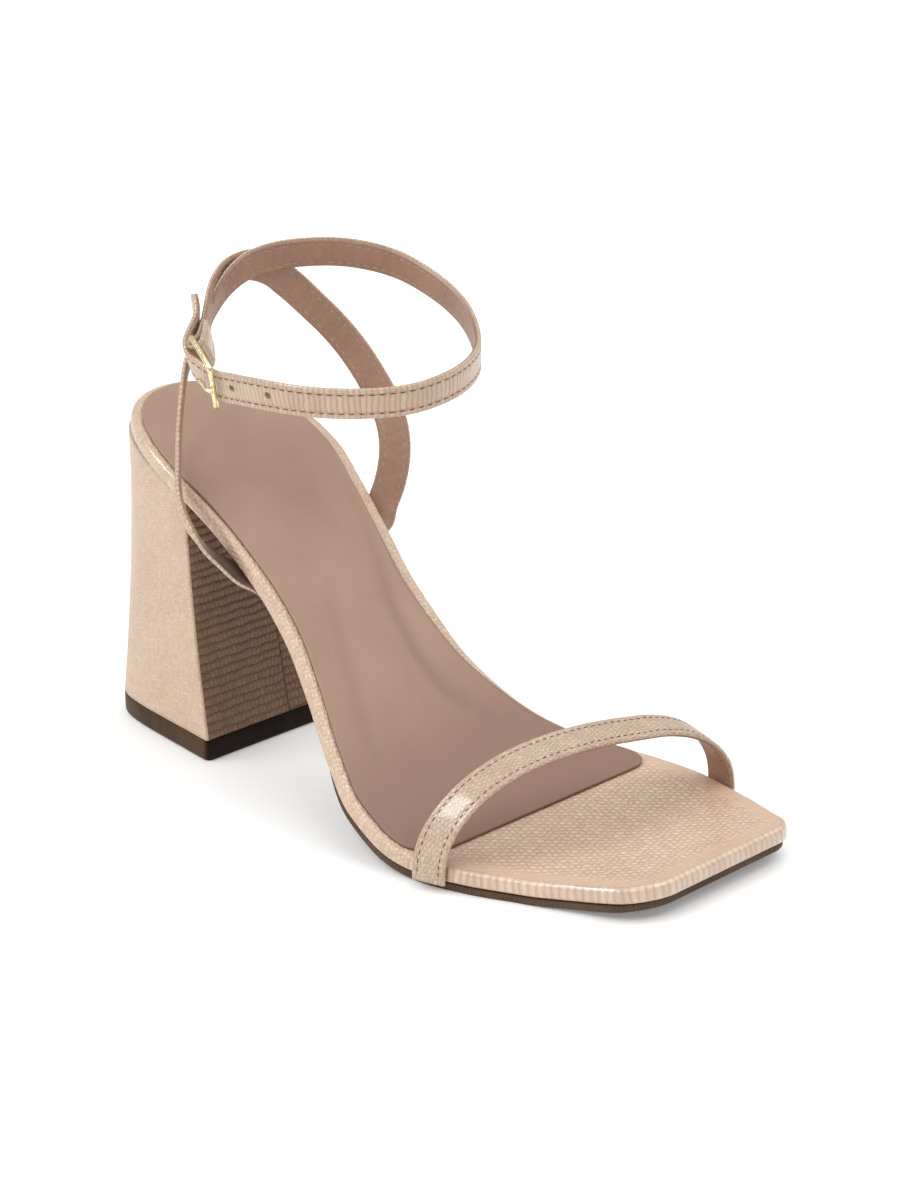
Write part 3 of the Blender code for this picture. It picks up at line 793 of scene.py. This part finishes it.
plate_skin, tree, shader = new_skin("top_piece_rubber", roughness=0.45, gloss=0.1)
in_mm = move(tree, "SCALE", object_place(tree), 1.0 / MM)
tone = use_effect(tree, hide_tone, Flat=in_mm)
rubber = tint(tree, ramp(tree, tone["Mottle"], 0.3, 0.75, 0.0, 1.0), PLATE_LIGHT, PLATE_DARK)
# Painted shade: the plate's front face, under the arch, turns near black
front_end = max(place.x for place in plate_outline) - ORIGIN_X
front_shade = ramp(tree, split(tree, in_mm)[0], front_end - 2.2, front_end - 0.3, 0.0, 0.9)
rubber = tint(tree, front_shade, rubber, PLATE_FRONT_SHADE)
finish_skin(tree, shader, rubber, tone["Pore"], deep=0.04, roughness=pore_sheen(tree, tone, 0.36, 0.52))
top_piece = plate.sew("top_piece_plate", [plate_skin])
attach(top_piece, "root")
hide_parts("top_piece")

# --------------------------------------
# Toe strap. One band over the toes: embossed leather with turned edges, backed with taupe lining and sewn
# through with a dark thread along both edges. Both ends are let in between the footbed and the sole.
TOE_STRAP_WIDTH = 9.8
STRAP_THICK = 1.8
# From the outer foot to the inner one: centre line, then the direction across the strap
TOE_STRAP = (
    (156.6, -43.5, 2.5, 0.96, 0.28, 0.0),
    (156.6, -43.5, 6.6, 0.96, 0.28, 0.0),
    (157.0, -42.8, 11.2, 0.97, 0.24, -0.02),
    (157.6, -40.2, 16.4, 0.98, 0.18, -0.08),
    (158.9, -33.3, 23.0, 0.97, 0.02, -0.18),
    (161.3, -20.6, 28.8, 0.96, -0.12, -0.25),
    (163.7, -8.3, 31.0, 0.95, -0.17, -0.26),
    (166.4, 5.6, 31.4, 0.95, -0.18, -0.26),
    (169.1, 19.8, 30.2, 0.95, -0.19, -0.25),
    (170.9, 30.4, 28.5, 0.96, -0.2, -0.2),
    (172.3, 40.3, 24.6, 0.97, -0.2, -0.14),
    (173.2, 47.5, 18.8, 0.98, -0.18, -0.08),
    (173.8, 51.3, 12.6, 0.99, -0.12, -0.02),
    (174.0, 52.5, 6.8, 0.99, -0.1, 0.0),
    (174.0, 52.5, 2.5, 0.99, -0.1, 0.0),
)


def curve_through(rows, reach):
    """Points and across directions at short steps along a smooth line through the rows."""
    rows = np.array(rows, float)
    runs = runs_along(rows[:, :3])
    slopes = np.gradient(rows, runs, axis=0)
    points = []
    for i, span in enumerate(np.diff(runs)):
        count = max(1, math.ceil(span / reach))
        for t in np.arange(count) / count:
            points.append(bend(rows[i], rows[i + 1], slopes[i] * span, slopes[i + 1] * span, t))
    points.append(rows[-1])
    return np.array(points)


class Course:
    """The way a strap runs: its centre line, and the across and outward directions at each point of it."""

    def __init__(self, rows, outward, reach=0.9):
        points = curve_through(rows, reach)
        self.centres = points[:, :3]
        ways = np.gradient(self.centres, axis=0)
        ways /= np.linalg.norm(ways, axis=1, keepdims=True)
        across = points[:, 3:] - ways * (points[:, 3:] * ways).sum(1, keepdims=True)
        self.across = across / np.linalg.norm(across, axis=1, keepdims=True)
        self.out = outward * np.cross(ways, self.across)
        self.runs = runs_along(self.centres)
        self.length = float(self.runs[-1])

    def place(self, run, aside, lift):
        """A point beside and above the centre line."""
        spot = []
        for rows in (self.centres, self.across, self.out):
            spot.append(np.array([np.interp(run, self.runs, rows[:, k]) for k in range(3)]))
        return spot[0] + spot[1] * aside + spot[2] * lift


SEAM_INSET = 1.75
SEAM_DIP = 0.16
SEAM_WIDE = 0.42
CROWN = 0.05
FACE_POINTS = 29
LINING_POINTS = 25


def leather_section(half, low, high):
    """Outline across the embossed layer: a crowned face with two sewn dips, turned edges and a flat back."""
    soft = 0.5 * (high - low)
    face = []
    for aside in np.linspace(-half, half, FACE_POINTS):
        inside = half - abs(aside)
        drop = soft - math.sqrt(max(0.0, soft * soft - max(0.0, soft - inside) ** 2))
        dip = SEAM_DIP * math.exp(-(((inside - SEAM_INSET) / SEAM_WIDE) ** 2))
        face.append((float(aside), high - drop - dip - CROWN * (aside / half) ** 2))
    edge = [(half, low + 0.4 * soft), (half - 0.25 * soft, low + 0.1 * soft), (half - 0.6 * soft, low)]
    return face + edge + [(-aside, lift) for aside, lift in reversed(edge)]


def lining_section(half, low, high):
    """Outline across the lining: a flat strip with eased edges, lightly drawn in along its sewn lines."""
    face = []
    for aside in np.linspace(half, -half, LINING_POINTS):
        inside = half - abs(aside)
        drop = 0.25 * math.exp(-((inside / 0.2) ** 2))
        dip = 0.1 * math.exp(-(((inside - SEAM_INSET + 0.45) / 0.4) ** 2))
        face.append((float(aside), low + drop + dip))
    return face + [(-half, high), (half, high)]


def sweep(cutting, course, section, slot, narrow):
    """Sweeps an outline along a strap's course, with both ends closed."""
    spread = runs_along(section)
    spread = np.append(spread, spread[-1] + 0.5) - spread[len(section) // 2 - 2]
    rings = []
    for run, centre, across, out in zip(course.runs, course.centres, course.across, course.out):
        share = narrow(course.length - run)
        points = [centre + across * (aside * share) + out * lift for aside, lift in section]
        rings.append((cutting.ring(points), [(run, beside) for beside in spread]))
    cutting.tube(rings, slot)


def even(left):
    return 1.0


STITCH_WIDE = 0.16
STITCH_TALL = 0.13
STITCH_SHARE = 0.62
# Along half a stitch either way, and how fat it is there
STITCH_FORM = ((-1.0, 0.25), (-0.8, 0.8), (-0.35, 1.0), (0.35, 1.0), (0.8, 0.8), (1.0, 0.25))


def stitch_line(cutting, course, start, end, pitch, aside, lift, slot):
    """A row of short thread stitches lying in the sewn dip."""
    girth = [math.radians(60.0 * i) for i in range(6)]
    for i in range(int((end - start) / pitch)):
        middle = start + pitch * (i + 0.5)
        rings = []
        for share, fat in STITCH_FORM:
            run = middle + share * STITCH_SHARE * pitch / 2
            sunk = lift - 0.5 * STITCH_TALL * share**4 * math.copysign(1.0, lift)
            spots = []
            for turn in girth:
                beside = aside + math.cos(turn) * STITCH_WIDE * fat
                spots.append(course.place(run, beside, sunk + math.sin(turn) * STITCH_TALL * fat))
            rings.append((cutting.ring(spots), [(run, turn) for turn in (*girth, math.tau)]))
        cutting.tube(rings, slot)


def thread_skin(name, light, dark):
    """Sewing thread: two twisted plies, slightly fuzzy."""
    skin, tree, shader = new_skin(name, roughness=0.65)
    twist = {"Vector": hide_place(tree), "Scale": 1.4}
    ply = add_node(tree, "ShaderNodeTexWave", twist, wave_type="BANDS", bands_direction="DIAGONAL")["Fac"]
    finish_skin(tree, shader, tint(tree, ply, dark, light), ply, deep=0.04)
    return skin


dark_thread = thread_skin("dark_thread", (0.15, 0.08, 0.044), (0.08, 0.041, 0.022))
pale_thread = thread_skin("pale_thread", (0.70, 0.54, 0.41), (0.55, 0.41, 0.30))

LINING_LIGHT = (0.385, 0.222, 0.148)
LINING_DARK = (0.30, 0.168, 0.108)
LINING_PAINTED_SHADE = (0.060, 0.033, 0.021)
# Where the lining is painted dark for the shade it lies in, by the outer root of the ankle strap, and how far
# round it
SHADE_PLACE = (66.6, -32.5, 62.8)
SHADE_NEAR = 5.0
SHADE_FAR = 15.0
lining_skin, tree, shader = new_skin("strap_lining", roughness=0.52, coat=0.06, coat_roughness=0.35)
calc = partial(reckon, tree)
flat = hide_place(tree)
tone = use_effect(tree, hide_tone, Flat=flat)
pucker = use_effect(tree, emboss, Flat=flat, Row=2.9, Length=14.0, Squareness=2.0, Wobble=0.9)
shade = calc("ADD", tone["Mottle"], calc("MULTIPLY", pucker["Groove"], 0.12))
hide = tint(tree, ramp(tree, shade, 0.3, 0.9, 0.0, 1.0), LINING_LIGHT, LINING_DARK)
shade_middle = (Vector(SHADE_PLACE) - Vector((ORIGIN_X, 0.0, 0.0))) * MM
away = move(tree, "DISTANCE", object_place(tree), shade_middle)
# Painted shade on the lining by the outer root, under the footbed
hide = tint(tree, ramp(tree, away, SHADE_NEAR * MM, SHADE_FAR * MM, 0.9, 0.0), hide, LINING_PAINTED_SHADE)
puckered = calc("ADD", pucker["Height"], calc("MULTIPLY", tone["Pore"], 0.25))
finish_skin(tree, shader, hide, puckered, deep=0.05, roughness=pore_sheen(tree, tone, 0.46, 0.6))

LINING_INSET = 0.35
LINING_SHARE = 0.40
LINING_LAP = 0.1
# How far the threads stand out of the embossed dip, and how deep they lie in the lining
FACE_RISE = 0.02
BACK_SINK = 0.06


def sew_strap(name, course, width, thick, skin, narrow, pitch, first, last, bare=0.0):
    """The embossed layer, its lining and the stitches of one strap.

    The seams run from the first place to one before the end, and the lining's starts after a bare run.
    """
    half = width / 2
    back = -thick / 2
    meet = back + LINING_SHARE * thick
    leather = Cutting()
    sweep(leather, course, leather_section(half, meet, thick / 2), 0, narrow)
    sweep(leather, course, lining_section(half - LINING_INSET, back, meet + LINING_LAP), 1, narrow)
    band = leather.sew(name, [skin, lining_skin])
    thread = Cutting()
    end = course.length - last
    for aside in (SEAM_INSET - half, half - SEAM_INSET):
        stitch_line(thread, course, first, end, pitch, aside, thick / 2 - SEAM_DIP + FACE_RISE, 0)
        stitch_line(thread, course, first + bare, end, pitch, aside, back + BACK_SINK, 1)
    return band, thread.sew(name + "_stitches", [dark_thread, pale_thread])


TOE_PITCH = 2.2
toe_scales = {"Row": 1.35, "Length": 1.3, "Squareness": 2.2, "Wobble": 0.4}
toe_skin = lizard_skin("lizard_toe_strap", toe_scales, deep=0.42, groove=0.35, coat=0.24)
toe_course = Course(TOE_STRAP, -1.0)
toe_band, toe_stitches = sew_strap(
    "toe_strap_leather", toe_course, TOE_STRAP_WIDTH, STRAP_THICK, toe_skin, even,
    TOE_PITCH, first=2.0, last=2.0,
)
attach(toe_band, "root")
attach(toe_stitches, "root")
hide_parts("toe_strap")

# --------------------------------------
# Ankle straps. A long strap from the outer waist goes round behind the ankle and across the front to the
# buckle, and a short one from the inner waist crosses it behind. Both are lined and sewn like the toe strap.
ANKLE_WIDTH = 9.2
ANKLE_PITCH = 2.7
ANKLE_SHADE = (0.90, 0.885, 0.87)
FOLD_THICK = 1.4
ROOT_DEPTH = RIM + 1.5 * GAP + STRAP_THICK / 2
# Ends held under the footbed: place along the shoe, place across it, and how far the width is turned
OUTER_ROOTS = ((78.6, -23.6, -62.0), (75.2, -25.6, -62.0))
INNER_ROOTS = ((70.0, 15.0, 0.0), (70.0, 20.0, 0.0))
# Centre line, then the direction across the strap
LONG_STRAP = (
    (68.7, -29.6, 60.0, 0.5, -0.8, -0.08),
    (65.3, -34.3, 64.4, 0.59, -0.69, 0.14),
    (62.7, -37.7, 68.3, 0.62, -0.62, 0.3),
    (59.2, -39.3, 72.9, 0.66, -0.54, 0.45),
    (53.3, -38.3, 78.4, 0.67, -0.5, 0.52),
    (45.5, -32.3, 90.4, 0.67, -0.5, 0.53),
    (40.0, -26.3, 102.8, 0.66, -0.48, 0.56),
    (35.6, -19.8, 112.8, 0.6, -0.44, 0.66),
    (33.6, -12.0, 120.8, 0.5, -0.38, 0.77),
    (31.6, -6.0, 126.6, 0.4, -0.32, 0.85),
    (30.2, 1.0, 131.4, 0.28, -0.24, 0.93),
    (29.9, 8.0, 134.2, 0.2, -0.2, 0.97),
    (32.2, 15.6, 135.9, 0.18, -0.19, 1.0),
    (37.6, 24.4, 136.7, 0.18, -0.19, 1.0),
    (44.6, 31.6, 136.6, 0.18, -0.19, 1.0),
    (56.6, 39.2, 134.4, 0.18, -0.19, 1.0),
    (72.0, 41.4, 129.9, 0.18, -0.19, 1.0),
    (86.6, 38.0, 125.8, 0.18, -0.19, 1.0),
    (99.6, 30.2, 122.2, 0.18, -0.19, 1.0),
    (110.4, 19.4, 120.2, 0.18, -0.19, 1.0),
    (116.6, 4.4, 118.6, 0.18, -0.19, 1.0),
    (115.4, -9.6, 117.2, 0.18, -0.19, 1.0),
    (107.6, -22.0, 116.8, 0.18, -0.19, 1.0),
    (95.8, -29.6, 116.5, 0.18, -0.19, 1.0),
    (82.0, -32.2, 115.9, 0.18, -0.19, 1.0),
    (70.0, -31.9, 114.8, 0.2, -0.2, 0.98),
    (61.2, -31.1, 114.1, 0.22, -0.24, 0.95),
    (54.4, -30.5, 115.6, 0.2, -0.34, 0.92),
    (49.2, -29.4, 117.0, 0.18, -0.44, 0.87),
    (46.0, -27.8, 119.0, 0.26, -0.48, 0.83),
    (43.2, -24.8, 121.2, 0.44, -0.5, 0.74),
    (40.6, -21.2, 123.6, 0.58, -0.5, 0.64),
    (38.4, -18.4, 126.2, 0.66, -0.5, 0.56),
    (36.4, -17.0, 128.8, 0.67, -0.5, 0.54),
    (34.8, -16.3, 131.4, 0.67, -0.5, 0.53),
)
SHORT_STRAP = (
    (66.2, 24.2, 63.0, 0.85, 0.2, -0.45),
    (65.6, 26.0, 66.6, 0.82, 0.38, -0.4),
    (66.0, 28.6, 72.4, 0.78, 0.55, -0.28),
    (65.2, 31.6, 81.6, 0.72, 0.66, -0.06),
    (62.9, 33.1, 87.6, 0.7, 0.66, 0.16),
    (58.6, 34.0, 94.1, 0.65, 0.62, 0.4),
    (53.1, 33.4, 101.5, 0.6, 0.56, 0.54),
    (47.3, 31.6, 109.0, 0.55, 0.5, 0.65),
    (41.6, 29.2, 115.3, 0.48, 0.47, 0.72),
    (36.5, 26.0, 120.8, 0.36, 0.43, 0.8),
    (32.2, 21.8, 126.6, 0.2, 0.4, 0.86),
    (30.0, 16.2, 131.6, 0.1, 0.36, 0.92),
    (29.2, 10.6, 133.9, 0.08, 0.24, 0.96),
    (28.7, 5.2, 134.2, 0.2, 0.0, 0.96),
    (28.7, 0.2, 133.4, 0.36, -0.28, 0.88),
    (30.3, -4.2, 131.7, 0.46, -0.46, 0.74),
    (33.5, -9.2, 128.7, 0.52, -0.56, 0.64),
    (37.5, -13.7, 125.3, 0.52, -0.58, 0.62),
    (42.1, -18.5, 122.1, 0.42, -0.58, 0.7),
    (46.2, -23.2, 119.8, 0.18, -0.54, 0.81),
)
# Buckle bars: middle and direction. The short strap folds round the back one.
BACK_BAR = (49.6, -26.5, 119.2, -0.05, -0.48, 0.88)
FRONT_BAR = (63.1, -33.6, 113.6, 0.15, -0.26, 0.95)
WIRE = 0.75
FOLD_RADIUS = WIRE + GAP + FOLD_THICK / 2
FOLD_TURNS = (0.0, 45.0, 90.0, 135.0, 180.0)
TAB_LIFTS = (2.0, 1.0)
TAB_INSET = 0.6


def root(x, y, degrees):
    """A strap's row held under the footbed, its width turned from the shoe's length."""
    turn = math.radians(degrees)
    along = Vector((1.0, 0.0, bed_slope(x))).normalized() * math.cos(turn)
    return (*under(x, y, ROOT_DEPTH), along.x, math.sin(turn), along.z)


def rounded_tip(left):
    """Share of the width near the loose end, which is cut round."""
    half = ANKLE_WIDTH / 2
    return math.sqrt(max(0.0025, 1.0 - max(0.0, 1.0 - left / half) ** 2))


ankle_ribs = {"Row": 1.5, "Length": 5.7, "Squareness": 4.0, "Wobble": 0.25, "Stagger": 1.0, "Shift": 0.5}
ankle_skin = lizard_skin(
    "lizard_ankle_strap", ankle_ribs, deep=0.3, groove=0.6, coat=0.35, tint_and_painted_shade=ANKLE_SHADE
)
long_rows = [root(*row) for row in OUTER_ROOTS] + list(LONG_STRAP)
long_course = Course(long_rows, -1.0)
long_band, long_stitches = sew_strap(
    "long_strap_leather", long_course, ANKLE_WIDTH, STRAP_THICK, ankle_skin, rounded_tip,
    ANKLE_PITCH, first=9.0, last=5.0, bare=15.0,
)

bar = Vector(BACK_BAR[:3])
bar_way = Vector(BACK_BAR[3:]).normalized()
pull_way = Vector(SHORT_STRAP[-1][:3]) - Vector(SHORT_STRAP[-2][:3])
pull_way = (pull_way - bar_way * pull_way.dot(bar_way)).normalized()
out_way = pull_way.cross(bar_way)
fold = []
for turn in FOLD_TURNS:
    side = out_way * math.cos(math.radians(turn)) + pull_way * math.sin(math.radians(turn))
    fold.append((*(bar + side * FOLD_RADIUS), *bar_way))
short_rows = [root(*row) for row in INNER_ROOTS] + list(SHORT_STRAP) + fold
short_course = Course(short_rows, 1.0)
short_band, short_stitches = sew_strap(
    "short_strap_leather", short_course, ANKLE_WIDTH, FOLD_THICK, ankle_skin, even,
    ANKLE_PITCH, first=8.0, last=9.0,
)
tab = fold[-2:]
for row, lift in zip(reversed(SHORT_STRAP), TAB_LIFTS):
    tab.append((*(Vector(row[:3]) - out_way * lift), *row[3:]))
tab_course = Course(tab, 1.0)
tab_leather = Cutting()
tab_half = (ANKLE_WIDTH - TAB_INSET) / 2
sweep(tab_leather, tab_course, leather_section(tab_half, -FOLD_THICK / 2, FOLD_THICK / 2), 0, even)
fold_tab = tab_leather.sew("short_strap_fold", [ankle_skin])

# The punched holes go right through the long strap
HOLE_RADIUS = 1.0
HOLES = ((70.2, -31.9, 114.9), (84.6, -31.9, 116.0))
HOLE_ASIDE = 0.5
HOLE_SIDES = 24
PUNCH_REACH = 3.0
punches = Cutting()
turns = [math.tau * i / HOLE_SIDES for i in range(HOLE_SIDES)]
flats = [(i, 0.0) for i in range(HOLE_SIDES + 1)]
for spot in HOLES:
    nearest = int(np.linalg.norm(long_course.centres - np.array(spot), axis=1).argmin())
    run = float(long_course.runs[nearest])
    rings = []
    for lift in (-PUNCH_REACH, PUNCH_REACH):
        ways = [(HOLE_RADIUS * math.cos(t), HOLE_RADIUS * math.sin(t)) for t in turns]
        points = [long_course.place(run + ahead, HOLE_ASIDE + aside, lift) for ahead, aside in ways]
        rings.append((punches.ring(points), flats))
    punches.tube(rings)
punch = punches.sew("hole_punch", [])
cut = long_band.modifiers.new("punched_holes", "BOOLEAN")
cut.operation = "DIFFERENCE"
cut.solver = "EXACT"
cut.use_self = True
cut.object = punch
bpy.context.view_layer.update()
punched = bpy.data.meshes.new_from_object(long_band.evaluated_get(bpy.context.evaluated_depsgraph_get()))
long_band.modifiers.clear()
long_band.data = punched
bpy.data.objects.remove(punch)

for piece in (long_band, long_stitches, short_band, short_stitches, fold_tab):
    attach(piece, "root")
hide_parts("ankle_strap")

# --------------------------------------
# Buckle. A bent wire frame and its prong, brass with a pale gold plate, worn a little along the bars.
# The frame sits in the fold of the short strap, and the prong lies through the long strap on the front bar.
BAR_HALF = 6.6
FRAME_CORNER = 1.6
PRONG = 0.55
PRONG_LINE = (
    (56.6, -32.8, 114.6),
    (59.6, -34.0, 114.2),
    (62.6, -35.4, 113.7),
    (64.8, -35.3, 113.4),
)
corners = []
for row, ends in ((BACK_BAR, (-1, 1)), (FRONT_BAR, (1, -1))):
    for end in ends:
        corners.append(Vector(row[:3]) + Vector(row[3:]).normalized() * (BAR_HALF * end))
frame_line = []
for i, corner in enumerate(corners):
    before = (corners[i - 1] - corner).normalized() * FRAME_CORNER
    after = (corners[(i + 1) % len(corners)] - corner).normalized() * FRAME_CORNER
    for t in np.linspace(0.0, 1.0, 9):
        frame_line.append(corner + before * (1 - t) ** 2 + after * t * t)


WIRE_SIDES = 16


def metal_wire(name, line, fats, closed, skin):
    """A round wire along a line, as fat at each point as given."""
    rod = Cutting()
    line = np.array(line, float)
    ways = np.roll(line, -1, axis=0) - np.roll(line, 1, axis=0) if closed else np.gradient(line, axis=0)
    side = np.cross(ways[0], (0.3, 0.9, 0.2))
    girth = [math.tau * i / WIRE_SIDES for i in range(WIRE_SIDES)]
    rings = []
    for i, (spot, way, fat) in enumerate(zip(line, ways, fats)):
        way = way / np.linalg.norm(way)
        side = side - way * (side @ way)
        side = side / np.linalg.norm(side)
        lift = np.cross(way, side)
        ring = rod.ring([spot + (side * math.cos(t) + lift * math.sin(t)) * fat for t in girth])
        rings.append((ring, [(i, k * 0.3) for k in range(WIRE_SIDES + 1)]))
    rod.tube(rings, 0, closed)
    return rod.sew(name, [skin])


GILT = (0.90, 0.79, 0.51)
GILT_WORN = (0.74, 0.60, 0.33)
gilt_skin, tree, shader = new_skin("gilt_metal", roughness=0.22, coat_roughness=0.1)
shader.inputs["Metallic"].default_value = 1.0
brushed = cloud(tree, object_place(tree), 900.0, 3.0, "3D")["Fac"]
plated = tint(tree, ramp(tree, brushed, 0.35, 0.7, 0.0, 1.0), GILT, GILT_WORN)
worn_sheen = ramp(tree, brushed, 0.3, 0.7, 0.16, 0.3)
finish_skin(tree, shader, plated, brushed, deep=0.015, roughness=worn_sheen)

buckle = metal_wire("buckle_wire", frame_line, [WIRE] * len(frame_line), True, gilt_skin)
prong_path = curve_through([(*p, 0.0, 0.0, 1.0) for p in PRONG_LINE], 0.5)[:, :3]
# The prong narrows to its tip over the last three steps
steps_left = reversed(range(len(prong_path)))
prong_fats = [PRONG * min(1.0, 0.35 + 0.65 * math.sqrt(left / 3.0)) for left in steps_left]
prong = metal_wire("buckle_tongue", prong_path, prong_fats, False, gilt_skin)
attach(buckle, "root")
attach(prong, "root")
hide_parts("buckle_frame")
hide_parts("buckle_prong")

# --------------------------------------
# Floor, studio light and camera. A plain white floor under large soft lamps, seen from the outer front
# quarter with a long lens.
FLOOR_HALF = 4.0
FLOOR_GLOW = 0.18
WORLD_GLOW = 0.48
WHITE = (1.0, 1.0, 1.0, 1.0)
PAPER = ((0.93, 0.93, 0.93), (0.95, 0.95, 0.95))
floor_data = bpy.data.meshes.new("floor")
floor_corners = [(x * FLOOR_HALF, y * FLOOR_HALF, 0.0) for x, y in ((-1, -1), (1, -1), (1, 1), (-1, 1))]
floor_data.from_pydata(floor_corners, [], [(0, 1, 2, 3)])
floor = bpy.data.objects.new("floor", floor_data)
bpy.context.scene.collection.objects.link(floor)
floor_skin, tree, shader = new_skin("white_floor", roughness=0.9)
paper = cloud(tree, object_place(tree), 3.0, 2.0, "3D")["Fac"]
feed(tree, shader.inputs["Base Color"], tint(tree, paper, *PAPER))
shader.inputs["Emission Color"].default_value = WHITE
shader.inputs["Emission Strength"].default_value = FLOOR_GLOW
floor_data.materials.append(floor_skin)

world = bpy.data.worlds.new("studio")
world.use_nodes = True
world.node_tree.nodes["Background"].inputs["Color"].default_value = WHITE
world.node_tree.nodes["Background"].inputs["Strength"].default_value = WORLD_GLOW
bpy.context.scene.world = world

TARGET = Vector((0.0806, 0.0103, 0.0535))
# Soft lamps far off: the direction of each, its width in degrees, its strength, and if it only adds gloss
for name, way, width, power, gloss_only in (
    ("key_lamp", (-0.35, -0.75, 0.8), 45.0, 1.0, False),
    ("top_lamp", (0.15, 0.4, 0.9), 70.0, 1.5, False),
    ("front_lamp", (0.3, -0.55, 0.8), 12.0, 0.35, False),
    ("edge_glint", (-0.45, -0.43, 0.77), 22.0, 3.4, True),
    ("toe_glint", (0.4, 0.15, 0.9), 26.0, 0.8, True),
):
    lamp_data = bpy.data.lights.new(name, "SUN")
    lamp_data.angle = math.radians(width)
    lamp_data.energy = power
    lamp = bpy.data.objects.new(name, lamp_data)
    lamp.visible_diffuse = not gloss_only
    lamp.location = TARGET + Vector(way).normalized()
    lamp.rotation_euler = Vector(way).to_track_quat("Z", "Y").to_euler()
    bpy.context.scene.collection.objects.link(lamp)

CAMERA_AZIMUTH = math.radians(45.5)
CAMERA_RISE = math.radians(21.1)
CAMERA_FAR = 0.7866
LENS = 85.23
backward = Vector((
    math.sin(CAMERA_AZIMUTH) * math.cos(CAMERA_RISE),
    -math.cos(CAMERA_AZIMUTH) * math.cos(CAMERA_RISE),
    math.sin(CAMERA_RISE),
))
sideways = Vector((math.cos(CAMERA_AZIMUTH), math.sin(CAMERA_AZIMUTH), 0.0))
camera_data = bpy.data.cameras.new("camera")
camera_data.lens = LENS
camera_data.clip_start = 0.01
camera = bpy.data.objects.new("camera", camera_data)
turned = Matrix((sideways, backward.cross(sideways), backward)).transposed().to_4x4()
camera.matrix_world = Matrix.Translation(TARGET + backward * CAMERA_FAR) @ turned
bpy.context.scene.collection.objects.link(camera)
bpy.context.scene.camera = camera
bpy.context.scene.view_settings.view_transform = "Standard"
